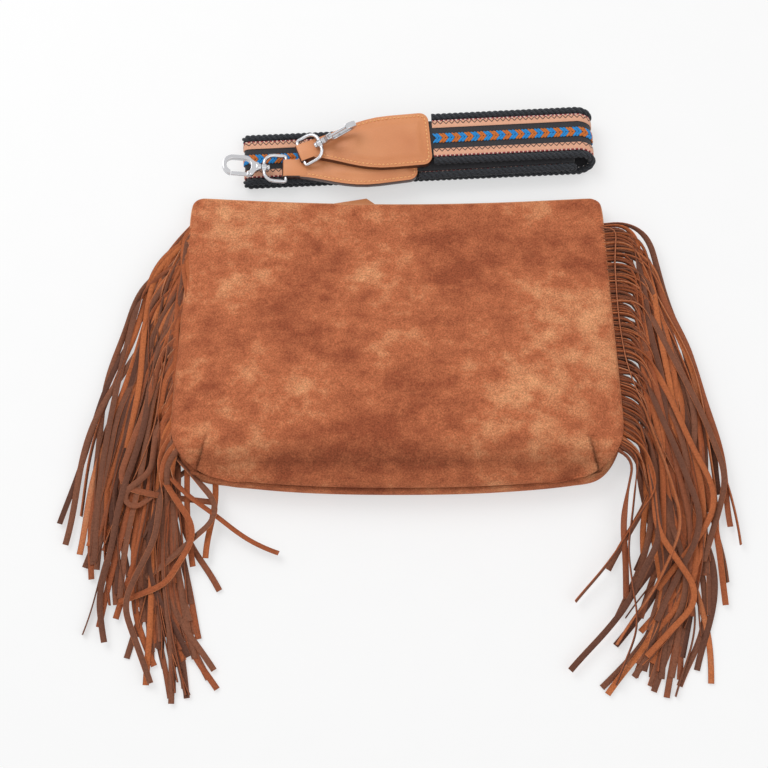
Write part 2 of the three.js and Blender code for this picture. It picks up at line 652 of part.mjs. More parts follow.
// Snap hook, pointing along +X from its boss; the gate closes its +Y side.
const gateY = HOOK_R - HOOK_BAR / 2;
const hookEnd = HOOK_L - HOOK_R; // middle of the round end
const lengthwise = (radius, from, to) =>
  rod(radius, to - from, 12).rotateZ(Math.PI / 2).translate((from + to) / 2, 0, 0);
function hookBody() {
  const shape = new THREE.Shape();
  const sway = (from, to, y0, y1) => {
    const middle = (from + to) / 2;
    shape.bezierCurveTo(middle, y0, middle, y1, to, y1);
  };
  shape.moveTo(HOOK_START, -HOOK_NECK);
  sway(HOOK_START, HOOK_SHOULDER, -HOOK_NECK, -HOOK_R);
  shape.lineTo(hookEnd, -HOOK_R);
  shape.absarc(hookEnd, 0, HOOK_R, -Math.PI / 2, Math.PI / 2, false);
  shape.lineTo(GATE_X - GATE_PIN_R, HOOK_R);
  sway(GATE_X - GATE_PIN_R, HOOK_START, HOOK_R, HOOK_NECK);
  const inner = HOOK_R - HOOK_BAR;
  const hole = new THREE.Path();
  hole.moveTo(HOLE_X, 0);
  hole.quadraticCurveTo(HOLE_X, -inner, HOOK_SHOULDER, -inner);
  hole.lineTo(hookEnd, -inner);
  hole.absarc(hookEnd, 0, inner, -Math.PI / 2, Math.PI / 2, false);
  hole.lineTo(HOOK_SHOULDER, inner);
  hole.quadraticCurveTo(HOLE_X, inner, HOLE_X, 0);
  shape.holes.push(hole);
  const frame = plate(shape, HOOK_T, -HOOK_T / 2);
  const bossFace = BOSS_L / 2 + SEAT;
  const head = lengthwise(HEAD_R, -bossFace - HEAD_L, -bossFace);
  const shank = lengthwise(SHANK_R, -bossFace - HEAD_L / 2, HOOK_START);
  const collar = lengthwise(BOSS_R, bossFace, HOOK_START + COLLAR_IN);
  const top = HOOK_R + OVER;
  const mouth = block(GATE_X + HOOK_BAR / 2, hookEnd + GATE_PAST, inner / 2, top, -HOOK_T, HOOK_T);
  const slotHalf = GATE_T / 2 + SEAT;
  const slot = block(GATE_X - HOOK_BAR / 2 - SEAT, hookEnd, inner / 2, top, -slotHalf, slotHalf);
  const pinHole = upright(rod(GATE_PIN_R + RUNNING, 2 * HOOK_T, 12), GATE_X, gateY, 0);
  return cut(join(frame, shank, head, collar), mouth, slot, pinHole);
}
function gateBar() {
  const half = (HOOK_BAR - RUNNING) / 2;
  const tip = hookEnd + GATE_PAST - SEAT;
  const bar = new THREE.Shape();
  bar.absarc(GATE_X, gateY, half, Math.PI / 2, (3 * Math.PI) / 2, false);
  bar.lineTo(tip, gateY - half);
  bar.lineTo(tip, gateY + half);
  const pinHole = upright(rod(GATE_PIN_R + RUNNING, 2 * GATE_T, 12), GATE_X, gateY, 0);
  return cut(plate(bar, GATE_T, -GATE_T / 2), pinHole);
}
function eyeBody() {
  const boss = lengthwise(BOSS_R, EYE_L - BOSS_L / 2, EYE_L + BOSS_L / 2);
  const bore = lengthwise(SHANK_R + RUNNING, EYE_L - BOSS_L / 2 - OVER, EYE_L + BOSS_L / 2 + OVER);
  return cut(join(wireLoop(EYE_W, EYE_L, EYE_R, EYE_WIRE), boss), bore);
}

for (const [name, end] of Object.entries(STRAP_ENDS)) {
  const holder = new THREE.Group();
  holder.position.set(end.left, end.sideLeft, layerZ(end.layer));
  holder.rotation.z = Math.atan2(end.sideRight - end.sideLeft, END_L);
  strap.add(holder);
  place(holder, `leather_end_${name}`, leatherEnd(end.skew), leather);
  const eye = new THREE.Group();
  eye.position.set(-LOOP_L, 0, 0).applyAxisAngle(vec(0, 0, 1), rad(end.skew));
  const heading = end.skew + (end.back ? 180 : 0);
  eye.rotation.set(0, rad(-end.lift), rad(heading), 'ZYX');
  holder.add(eye);
  place(eye, `hook_eye_${name}`, eyeBody(), nickel);
  const hook = new THREE.Group();
  hook.position.x = EYE_L;
  hook.rotation.x = rad(end.roll);
  eye.add(hook);
  place(hook, `hook_${name}`, hookBody(), nickel);
  place(hook, `gate_${name}`, gateBar(), nickel);
  const pin = upright(rod(GATE_PIN_R, HOOK_T - 2 * RUNNING, 12), GATE_X, gateY, 0);
  place(hook, `gate_pin_${name}`, pin, nickel);
}

export default bag;
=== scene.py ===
"""A fringed suede shoulder bag with its folded strap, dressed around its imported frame."""

import logging
import math
import random
from collections.abc import Callable, Mapping, Sequence
from dataclasses import dataclass, field
from enum import Enum

import bmesh
import bpy
import numpy as np
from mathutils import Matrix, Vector


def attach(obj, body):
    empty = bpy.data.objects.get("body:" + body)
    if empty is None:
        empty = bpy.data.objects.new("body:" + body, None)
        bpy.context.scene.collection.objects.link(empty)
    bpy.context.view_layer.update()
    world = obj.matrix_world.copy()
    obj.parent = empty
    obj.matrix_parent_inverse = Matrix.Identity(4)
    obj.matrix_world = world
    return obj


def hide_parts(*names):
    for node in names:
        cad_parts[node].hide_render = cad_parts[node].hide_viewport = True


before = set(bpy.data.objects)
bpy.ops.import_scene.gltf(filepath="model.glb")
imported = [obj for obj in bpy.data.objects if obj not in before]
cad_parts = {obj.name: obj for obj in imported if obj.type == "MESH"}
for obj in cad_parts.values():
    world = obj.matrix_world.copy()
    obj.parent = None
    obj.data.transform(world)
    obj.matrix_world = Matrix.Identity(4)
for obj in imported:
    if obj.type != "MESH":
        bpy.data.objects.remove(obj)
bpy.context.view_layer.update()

MM = 0.001
ROOT = "bag_and_strap"

logging.basicConfig(level=logging.INFO, format="%(message)s")
log = logging.getLogger("bag")

Colour = tuple[float, float, float]
Trio = tuple[float, float, float]
Section = Sequence[tuple[float, float]]
Grid = np.ndarray


def linear(red: int, green: int, blue: int) -> Colour:
    """Turns a screen colour from 0 to 255 into a linear one.

    Args:
        red: The red value.
        green: The green value.
        blue: The blue value.

    Returns:
        The linear colour.
    """
    parts = [c / 255 for c in (red, green, blue)]
    return tuple(c / 12.92 if c <= 0.04045 else ((c + 0.055) / 1.055) ** 2.4 for c in parts)


def smoothstep(value: float, low: float, high: float) -> float:
    """Rises smoothly from 0 at low to 1 at high."""
    share = min(1.0, max(0.0, (value - low) / (high - low)))
    return share * share * (3 - 2 * share)


def mix(low: float, high: float, share: float) -> float:
    """Gives the value that lies the given share of the way from low to high."""
    return low + (high - low) * share


class Signal:
    """A shader socket that can be used in sums."""

    def __init__(self, graph: "Graph", socket: bpy.types.NodeSocket) -> None:
        """Keeps the socket and the graph that it belongs to.

        Args:
            graph: The material's graph.
            socket: The output socket.
        """
        self.graph = graph
        self.socket = socket

    def math(self, operation: str, *others: "Signal | float", swap: bool = False) -> "Signal":
        """Adds a Math node on this value.

        Args:
            operation: The Math node's operation.
            others: The other values.
            swap: Whether this value comes second.

        Returns:
            The node's result.
        """
        values = [self, *others]
        if swap:
            values.reverse()
        inputs = dict(enumerate(values))
        return self.graph.node("ShaderNodeMath", {"operation": operation}, inputs)

    def __add__(self, other: "Signal | float") -> "Signal":
        """Adds two values."""
        return self.math("ADD", other)

    __radd__ = __add__

    def __sub__(self, other: "Signal | float") -> "Signal":
        """Takes the other value from this one."""
        return self.math("SUBTRACT", other)

    def __rsub__(self, other: "Signal | float") -> "Signal":
        """Takes this value from the other one."""
        return self.math("SUBTRACT", other, swap=True)

    def __mul__(self, other: "Signal | float") -> "Signal":
        """Multiplies two values."""
        return self.math("MULTIPLY", other)

    __rmul__ = __mul__

    def above(self, edge: float) -> "Signal":
        """Gives 1 where this value is above the edge."""
        return self.math("GREATER_THAN", edge)

    def below(self, edge: float) -> "Signal":
        """Gives 1 where this value is below the edge."""
        return self.math("LESS_THAN", edge)

    def wrap(self, period: float) -> "Signal":
        """Gives this value's place within a repeat, from 0 to 1."""
        return (self * (1 / period)).math("FRACT")

    def size(self) -> "Signal":
        """Gives this value without its sign."""
        return self.math("ABSOLUTE")

    def sine(self) -> "Signal":
        """Gives this value's sine."""
        return self.math("SINE")

    def spread(self, reach: float) -> "Signal":
        """Stretches the values within the reach of 0.5 to the range from 0 to 1."""
        limits = {"Value": self, "From Min": 0.5 - reach, "From Max": 0.5 + reach}
        return self.graph.node("ShaderNodeMapRange", None, limits)


class Graph:
    """A material's node graph, built from one method."""

    def __init__(self, name: str) -> None:
        """Makes the material with an empty graph.

        Args:
            name: The material's name.
        """
        self.material = bpy.data.materials.new(name)
        self.material.use_nodes = True
        self.tree = self.material.node_tree
        self.tree.nodes.clear()

    def node(
        self,
        kind: str,
        settings: Mapping[str, object] | None = None,
        inputs: Mapping[int | str, object] | None = None,
        output: int | str = 0,
    ) -> Signal:
        """Adds a node.

        Args:
            kind: The node's type.
            settings: Its settings; stops are a ramp's places and colours.
            inputs: The values or signals of its sockets.
            output: The output to give back.

        Returns:
            The chosen output.
        """
        made = self.tree.nodes.new(kind)
        for key, value in (settings or {}).items():
            if key == "stops":
                self._set_stops(made.color_ramp, value)
            else:
                setattr(made, key, value)
        for key, value in (inputs or {}).items():
            socket = made.inputs[key]
            if isinstance(value, Signal):
                self.tree.links.new(value.socket, socket)
            elif socket.type == "RGBA":
                socket.default_value = (*value, 1.0)
            else:
                socket.default_value = value
        if not made.outputs:
            return Signal(self, None)
        return Signal(self, made.outputs[output])

    def _set_stops(self, ramp: bpy.types.ColorRamp, stops: Sequence[tuple[float, Colour]]) -> None:
        """Gives a ramp its stops.

        Args:
            ramp: The ramp.
            stops: Its places and colours.
        """
        while len(ramp.elements) < len(stops):
            ramp.elements.new(1.0)
        for element, (place, colour) in zip(ramp.elements, stops):
            element.position = place
            element.color = (*colour, 1.0)

    def place(self) -> Signal:
        """Gives the place on the object, in metres."""
        return self.node("ShaderNodeTexCoord", output="Object")

    def flat(self) -> tuple[Signal, Signal]:
        """Reads the flat places of a strip.

        Returns:
            The places along and across it, in metres.
        """
        uv = self.node("ShaderNodeTexCoord", output="UV")
        along = self.node("ShaderNodeSeparateXYZ", None, {0: uv}, "X")
        across = self.node("ShaderNodeSeparateXYZ", None, {0: uv}, "Y")
        return along, across

    def noise(
        self, scale: float, detail: float = 2.0, rough: float = 0.5, at: Signal | None = None
    ) -> Signal:
        """Adds cloudy noise.

        Args:
            scale: Its scale, for each metre.
            detail: Its detail.
            rough: The strength of its detail.
            at: Where it is read; the object's own place if not given.

        Returns:
            The noise, around 0.5.
        """
        inputs = {"Vector": at or self.place(), "Scale": scale, "Detail": detail, "Roughness": rough}
        return self.node("ShaderNodeTexNoise", None, inputs, "Fac")

    def ramp(self, value: Signal, stops: Sequence[tuple[float, Colour]]) -> Signal:
        """Turns a value into a colour."""
        return self.node("ShaderNodeValToRGB", {"stops": stops}, {0: value})

    def blend(self, share: Signal | float, first: object, second: object, way: str = "MIX") -> Signal:
        """Mixes two colours.

        Args:
            share: The share of the second colour.
            first: The first colour.
            second: The second colour.
            way: How they mix.

        Returns:
            The mixed colour.
        """
        settings = {"data_type": "RGBA", "blend_type": way}
        return self.node("ShaderNodeMix", settings, {0: share, 6: first, 7: second}, 2)

    def shade(self, colour: Signal, low: float, high: float, value: Signal) -> Signal:
        """Darkens and lightens a colour by a value.

        Args:
            colour: The colour.
            low: The factor where the value is 0.
            high: The factor where the value is 1.
            value: The value.

        Returns:
            The shaded colour.
        """
        factor = self.ramp(value, [(0.0, (low,) * 3), (1.0, (high,) * 3)])
        return self.blend(1.0, colour, factor, "MULTIPLY")

    def surface(
        self,
        colour: Signal | Colour,
        rough: Signal | float,
        height: Signal | None = None,
        depth: float = 0.0002,
        **sockets: object,
    ) -> bpy.types.Material:
        """Ends the graph in its surface.

        Args:
            colour: The base colour.
            rough: The roughness.
            height: The relief, from 0 to 1.
            depth: The relief's depth, in metres.
            sockets: Other sockets of the surface, with spaces written as underscores.

        Returns:
            The finished material.
        """
        inputs = {"Base Color": colour, "Roughness": rough}
        inputs.update({key.replace("_", " "): value for key, value in sockets.items()})
        if height is not None:
            relief = {"Strength": 1.0, "Distance": depth, "Height": height}
            inputs["Normal"] = self.node("ShaderNodeBump", None, relief)
        shader = self.node("ShaderNodeBsdfPrincipled", None, inputs)
        self.node("ShaderNodeOutputMaterial", None, {0: shader})
        return self.material


@dataclass(frozen=True)
class Suede:
    """Napped suede whose colour clouds where the nap has been brushed."""

    name: str
    dark: Colour
    middle: Colour
    light: Colour
    edge: Colour
    cloud: float = 13.0
    streak: float = 65.0
    grain: float = 820.0
    shift: Trio = (0.37, 0.21, 0.0)
    stretch: Trio = (0.85, 1.1, 1.0)
    base_dark: tuple[float, float] = (-0.108, -0.078)
    relief: float = 0.00035

    def base_shadow(self, graph: Graph, place: Signal) -> Signal:
        """Darkens the skin where it turns down to the base seam.

        Args:
            graph: The material's graph.
            place: The place on the object.

        Returns:
            The factor on the colour.
        """
        along = graph.node("ShaderNodeSeparateXYZ", None, {0: place}, "Y")
        limits = {"Value": along, "From Min": self.base_dark[0], "From Max": self.base_dark[1]}
        stops = [(0.0, (0.96,) * 3), (0.35, (0.7,) * 3), (1.0, (1.0,) * 3)]
        return graph.ramp(graph.node("ShaderNodeMapRange", None, limits), stops)

    def make(self) -> bpy.types.Material:
        """Makes the material.

        Returns:
            The material.
        """
        graph = Graph(self.name)
        place = graph.place()
        moved = {"Vector": place, "Location": self.shift, "Scale": self.stretch}
        wide = graph.node("ShaderNodeMapping", None, moved)
        clouds = graph.noise(self.cloud, 5.0, 0.62, wide)
        streaks = graph.noise(self.streak, 4.0, 0.66, wide)
        grain = graph.noise(self.grain, 3.0, 0.8).spread(0.16)
        nap = clouds * 0.6 + streaks * 0.4
        colour = graph.ramp(nap, [(0.38, self.dark), (0.5, self.middle), (0.63, self.light)])
        colour = graph.shade(colour, 0.64, 1.38, grain)
        colour = graph.blend(1.0, colour, self.base_shadow(graph, place), "MULTIPLY")
        rim = graph.node("ShaderNodeAttribute", {"attribute_name": "tone"}, None, "Fac")
        # Painted shade: where the tone falls below zero (the pleats' creases and the base piping) the colour
        # is darkened. Above zero it blends towards the rim's edge colour.
        colour = graph.shade(colour, 0.3, 1.0, rim + 1.0)
        colour = graph.blend(rim * 0.75, colour, self.edge)
        height = grain * 0.5 + graph.noise(self.grain * 2.5, 2.0) * 0.5
        return graph.surface(colour, 0.93, height, self.relief, Sheen_Weight=0.18, Sheen_Roughness=0.5,
                             Sheen_Tint=self.light, Specular_IOR_Level=0.15)


@dataclass(frozen=True)
class Strands:
    """Cut suede strands: the right side, the wrong side and the edges differ in tone."""

    name: str
    tones: tuple[Colour, Colour, Colour, Colour, Colour]
    stops: tuple[float, float, float, float, float] = (0.05, 0.3, 0.52, 0.76, 1.0)
    cloud: float = 46.0
    grain: float = 700.0

    def make(self) -> bpy.types.Material:
        """Makes the material.

        Returns:
            The material.
        """
        graph = Graph(self.name)
        tone = graph.node("ShaderNodeAttribute", {"attribute_name": "tone"}, None, "Fac")
        grain = graph.noise(self.grain, 3.0, 0.75).spread(0.2)
        clouds = graph.noise(self.cloud, 4.0, 0.6)
        value = tone + (clouds - 0.5) * 0.22
        colour = graph.ramp(value, list(zip(self.stops, self.tones)))
        colour = graph.shade(colour, 0.76, 1.24, grain)
        return graph.surface(colour, 0.9, grain, 0.0002, Sheen_Weight=0.08, Sheen_Roughness=0.5,
                             Sheen_Tint=self.tones[3], Specular_IOR_Level=0.2)


@dataclass(frozen=True)
class Leather:
    """Smooth leather with fine pores and a few soft clouds."""

    name: str
    dark: Colour
    light: Colour
    rough: float = 0.45
    cloud: float = 26.0
    pore: float = 1700.0

    def make(self) -> bpy.types.Material:
        """Makes the material.

        Returns:
            The material.
        """
        graph = Graph(self.name)
        clouds = graph.noise(self.cloud)
        pores = graph.node("ShaderNodeTexVoronoi", None, {"Vector": graph.place(), "Scale": self.pore})
        colour = graph.ramp(clouds, [(0.25, self.dark), (0.75, self.light)])
        colour = graph.shade(colour, 0.93, 1.03, pores)
        rough = graph.noise(240.0) * 0.16 + (self.rough - 0.08)
        return graph.surface(colour, rough, pores, 0.00006)


@dataclass(frozen=True)
class Yarn:
    """Spun yarn whose fibres run along the strip's own length."""

    name: str
    dark: Colour
    light: Colour
    turns: float = 900.0

    def make(self) -> bpy.types.Material:
        """Makes the material.

        Returns:
            The material.
        """
        graph = Graph(self.name)
        along, across = graph.flat()
        fibre = (along * self.turns + across * (self.turns * 4)).sine() * 0.5 + 0.5
        fuzz = graph.noise(1600.0, 3.0, 0.7).spread(0.25)
        colour = graph.ramp(fibre * 0.5 + fuzz * 0.5, [(0.2, self.dark), (0.8, self.light)])
        return graph.surface(colour, 0.8, fibre * 0.6 + fuzz * 0.6, 0.00025, Sheen_Weight=0.12)


@dataclass(frozen=True)
class Woven:
    """Webbing or ribbon with its ribs across the strip."""

    name: str
    dark: Colour
    light: Colour
    rib: float = 0.0011
    zigzag: Colour | None = None
    zigzag_step: float = 0.0044
    width: float = 0.0054

    def make(self) -> bpy.types.Material:
        """Makes the material.

        Returns:
            The material.
        """
        graph = Graph(self.name)
        along, across = graph.flat()
        rib = (along * (2 * math.pi / self.rib)).sine() * 0.5 + 0.5
        warp = (across * (2 * math.pi / (self.rib * 0.8))).sine() * 0.5 + 0.5
        weave = rib * warp
        fuzz = graph.noise(1700.0, 2.0, 0.7).spread(0.25)
        colour = graph.ramp(weave * 0.6 + fuzz * 0.4, [(0.1, self.dark), (0.8, self.light)])
        if self.zigzag:
            wave = (along.wrap(self.zigzag_step) - 0.5).size() * 2.0
            side = across.size() * (2 / self.width)
            line = (wave * 0.9 + 0.04 - side).size().below(0.2) * across.above(-0.0001)
            colour = graph.blend(line * 0.9, colour, self.zigzag)
        return graph.surface(colour, 0.82, weave * 0.8 + fuzz * 0.3, 0.00022, Sheen_Weight=0.12)


@dataclass(frozen=True)
class Metal:
    """Polished plate with faint wear."""

    name: str
    colour: Colour
    rough: float = 0.14

    def make(self) -> bpy.types.Material:
        """Makes the material.

        Returns:
            The material.
        """
        graph = Graph(self.name)
        haze = graph.noise(420.0, 3.0)
        wear = graph.noise(60.0, 2.0)
        rough = haze * 0.1 + wear * 0.06 + (self.rough - 0.05)
        colour = graph.ramp(wear, [(0.3, tuple(0.9 * c for c in self.colour)), (0.7, self.colour)])
        return graph.surface(colour, rough, haze, 0.000004, Metallic=1.0)


class Finish(Enum):
    """The finishes that the bag's pieces use."""

    SUEDE = Suede("body_suede", linear(150, 79, 52), linear(186, 108, 72), linear(218, 152, 108),
                  linear(222, 166, 124))
    FRINGE = Strands("fringe_strands", (linear(96, 62, 50), linear(130, 84, 64), linear(158, 86, 54),
                                        linear(188, 108, 64), linear(198, 154, 126)))
    LEATHER = Leather("tan_leather", linear(198, 122, 75), linear(220, 148, 99))
    EDGE = Leather("painted_edge", linear(62, 30, 18), linear(84, 42, 26), 0.35)
    THREAD = Yarn("orange_thread", linear(228, 150, 88), linear(252, 200, 140))
    CORD = Yarn("black_cord_yarn", linear(10, 11, 15), linear(46, 50, 58))
    WEBBING = Woven("webbing_weave", linear(24, 24, 28), linear(62, 60, 64))
    RIBBON = Woven("ribbon_weave", linear(214, 152, 122), linear(246, 194, 162), 0.0009,
                   zigzag=linear(52, 30, 32))
    PLAIN = Yarn("pink_yarn", linear(226, 170, 156), linear(250, 216, 200))
    DOTTED = Yarn("red_yarn", linear(120, 26, 38), linear(188, 66, 74))
    BLUE = Yarn("blue_yarn", linear(0, 92, 178), linear(40, 170, 236), 1500.0)
    ORANGE = Yarn("orange_yarn", linear(166, 78, 16), linear(238, 136, 48), 1500.0)
    LINING = Woven("lining_weave", linear(74, 52, 40), linear(116, 86, 66), 0.0006)
    NICKEL = Metal("polished_nickel", (0.60, 0.60, 0.62))

    @property
    def material(self) -> bpy.types.Material:
        """The finish's material, made once."""
        return bpy.data.materials.get(self.value.name) or self.value.make()


class Part:
    """A mesh being put together from closed tubes."""

    def __init__(self, name: str, *finishes: Finish) -> None:
        """Starts an empty mesh.

        Args:
            name: The piece's name.
            finishes: Its finishes, in the order of its material slots.
        """
        self.name = name
        self.finishes = finishes
        self.points: list[np.ndarray] = []
        self.faces: list[tuple[int, ...]] = []
        self.slots: list[int] = []
        self.coords: list[np.ndarray] = []
        self.tones: list[np.ndarray] = []
        self.count = 0

    def sweep(
        self,
        rings: Grid,
        coords: Grid | None = None,
        slot: int = 0,
        tone: float | Grid = 0.5,
    ) -> None:
        """Adds a closed tube through rings of points.

        Args:
            rings: The rings, as an array of rings by points by 3.
            coords: The flat places of the points, as an array of rings by points by 2.
            slot: The material slot.
            tone: The lightness of the points.
        """
        count, sides = rings.shape[:2]
        start = self.count
        self.points.append(rings.reshape(-1, 3))
        flat = np.zeros((count * sides, 2)) if coords is None else coords.reshape(-1, 2)
        self.coords.append(flat)
        self.tones.append(np.broadcast_to(np.asarray(tone, float), (count, sides)).reshape(-1))
        self.count += count * sides
        last = self.count - sides
        for a in range(start, last, sides):
            b = a + sides
            for j in range(sides):
                k = (j + 1) % sides
                self.faces.append((a + j, a + k, b + k, b + j))
                self.slots.append(slot)
        self.faces.append(tuple(start + j for j in reversed(range(sides))))
        self.faces.append(tuple(last + j for j in range(sides)))
        self.slots.extend([slot, slot])

    def object(self, crease: float = 40.0) -> bpy.types.Object:
        """Makes the object.

        Args:
            crease: The angle above which an edge stays sharp, in degrees.

        Returns:
            The new object, in metres.
        """
        mesh = bpy.data.meshes.new(self.name)
        points = np.concatenate(self.points) * MM
        mesh.from_pydata(points.tolist(), [], self.faces)
        for finish in self.finishes:
            mesh.materials.append(finish.material)
        mesh.polygons.foreach_set("material_index", self.slots)
        corners = np.empty(len(mesh.loops), dtype=np.int32)
        mesh.loops.foreach_get("vertex_index", corners)
        layer = mesh.uv_layers.new(name="flat")
        flat = np.concatenate(self.coords)[corners]
        layer.data.foreach_set("uv", flat.astype(np.float32).reshape(-1))
        tone = mesh.attributes.new("tone", "FLOAT", "POINT")
        tone.data.foreach_set("value", np.concatenate(self.tones).astype(np.float32))
        mesh.update()
        made = bpy.data.objects.new(self.name, mesh)
        bpy.context.scene.collection.objects.link(made)
        tidy_normals(made, crease)
        return made


def tidy_normals(thing: bpy.types.Object, crease: float) -> None:
    """Turns a closed mesh's faces out and shades it smooth.

    Args:
        thing: The object.
        crease: The angle above which an edge stays sharp, in degrees.
    """
    work = bmesh.new()
    work.from_mesh(thing.data)
    bmesh.ops.recalc_face_normals(work, faces=work.faces)
    work.to_mesh(thing.data)
    work.free()
    thing.data.shade_smooth()
    thing.data.set_sharp_from_angle(angle=math.radians(crease))


def settle(thing: bpy.types.Object, body: str, slot: str, *nodes: str) -> bpy.types.Object:
    """Puts a finished piece on its body.

    Args:
        thing: The piece.
        body: The body that it rides on.
        slot: The record's material slot; not used.
        nodes: The frame's nodes that it stands for.

    Returns:
        The piece.
    """
    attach(thing, body)
    if nodes:
        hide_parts(*nodes)
    log.info("%s: %d faces", thing.name, len(thing.data.polygons))
    return thing


def apply_modifiers(thing: bpy.types.Object) -> None:
    """Makes an object's modifiers part of its mesh.

    Args:
        thing: The object.
    """
    graph = bpy.context.evaluated_depsgraph_get()
    done = bpy.data.meshes.new_from_object(thing.evaluated_get(graph))
    old = thing.data
    thing.modifiers.clear()
    thing.data = done
    bpy.data.meshes.remove(old)


def copy_of(node: str, name: str) -> bpy.types.Object:
    """Copies a frame node's mesh, welded and without its materials.

    Args:
        node: The node.
        name: The copy's name.

    Returns:
        The copy.
    """
    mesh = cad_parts[node].data.copy()
    mesh.name = name
    mesh.materials.clear()
    made = bpy.data.objects.new(name, mesh)
    bpy.context.scene.collection.objects.link(made)
    work = bmesh.new()
    work.from_mesh(mesh)
    bmesh.ops.remove_doubles(work, verts=work.verts, dist=0.00002)
    work.to_mesh(mesh)
    work.free()
    return made


def painted_leather(node: str, name: str, bevel: float, bevel_above: float) -> bpy.types.Object:
    """Dresses a leather piece of the frame, with its edges rounded off and painted.

    Args:
        node: The node.
        name: The piece's name.
        bevel: The width of the rounding, in millimetres.
        bevel_above: The angle above which an edge is rounded, in degrees.

    Returns:
        The piece.
    """
    made = copy_of(node, name)
    soften = made.modifiers.new("round", "BEVEL")
    soften.width = bevel * MM
    soften.segments = 2
    soften.limit_method = "ANGLE"
    soften.angle_limit = math.radians(bevel_above)
    apply_modifiers(made)
    tidy_normals(made, 35)
    made.data.materials.append(Finish.LEATHER.material)
    made.data.materials.append(Finish.EDGE.material)
    for face in made.data.polygons:
        face.material_index = 0 if abs(face.normal.z) > 0.6 else 1
    return settle(made, ROOT, "leather", node)


@dataclass(frozen=True)
class SidePlace:
    """A place on the bag's side: its distance along, its half width and its seam's height."""

    y: float
    half: float
    z: float


def drawn_in(radius: float, distance: float) -> float:
    """Gives how far a corner's arc has drawn in at a distance from its end."""
    rest = radius - max(0.0, min(radius, distance))
    return radius - math.sqrt(radius**2 - rest**2)


@dataclass(frozen=True)
class BagOutline:
    """The bag's outline and the height of its seam, with the sizes of the frame's panels."""

    top_half: float = 157.0
    base_half: float = 169.0
    base_y: float = -113.0
    base_sag: float = 14.0
    sag_power: float = 2.6
    mouth_y: float = 109.0
    mouth_rise: float = 6.0
    base_corner: float = 34.0
    mouth_corner: float = 9.0
    base_seam_z: float = 20.0
    side_seam_z: float = 11.0
    seam_turn: float = 46.0
    above_base: tuple[float, ...] = (0.0, 3.0, 8.0, 17.0, 30.0, 52.0, 88.0)
    below_mouth: tuple[float, ...] = (78.0, 18.0, 6.0)

    def base_line(self, x: float | np.ndarray) -> float | np.ndarray:
        """Gives the base seam's place along the bag at places across it."""
        return self.base_sag * (np.abs(x) / self.base_half) ** self.sag_power + self.base_y

    def mouth_line(self, x: float | np.ndarray) -> float | np.ndarray:
        """Gives the lip's place along the bag at places across it."""
        return self.mouth_rise * (x / self.top_half) ** 2 + self.mouth_y

    def side(self) -> list[SidePlace]:
        """Lists places on the side, from the base to the mouth.

        Returns:
            The places.
        """
        full = self.mouth_y - self.base_y
        places = []
        for above in (*self.above_base, *(full - below for below in self.below_mouth)):
            straight = mix(self.base_half, self.top_half, above / full)
            half = straight - drawn_in(self.base_corner, above) - drawn_in(self.mouth_corner, full - above)
            if above in self.above_base:
                y = self.base_line(half) + above
            else:
                y = self.mouth_line(half) + above - full
            fall = smoothstep(above, 0.1 * self.seam_turn, self.seam_turn)
            places.append(SidePlace(float(y), half, mix(self.base_seam_z, self.side_seam_z, fall)))
        return places


OUTLINE = BagOutline()
SIDE_PLACES = OUTLINE.side()


def side_half(y: float | np.ndarray) -> np.ndarray:
    """Gives the bag's half width at places along its side."""
    return np.interp(y, [p.y for p in SIDE_PLACES], [p.half for p in SIDE_PLACES])


def side_height(y: float) -> float:
    """Gives the height of the side seam at a place along it."""
    return float(np.interp(y, [p.y for p in SIDE_PLACES], [p.z for p in SIDE_PLACES]))


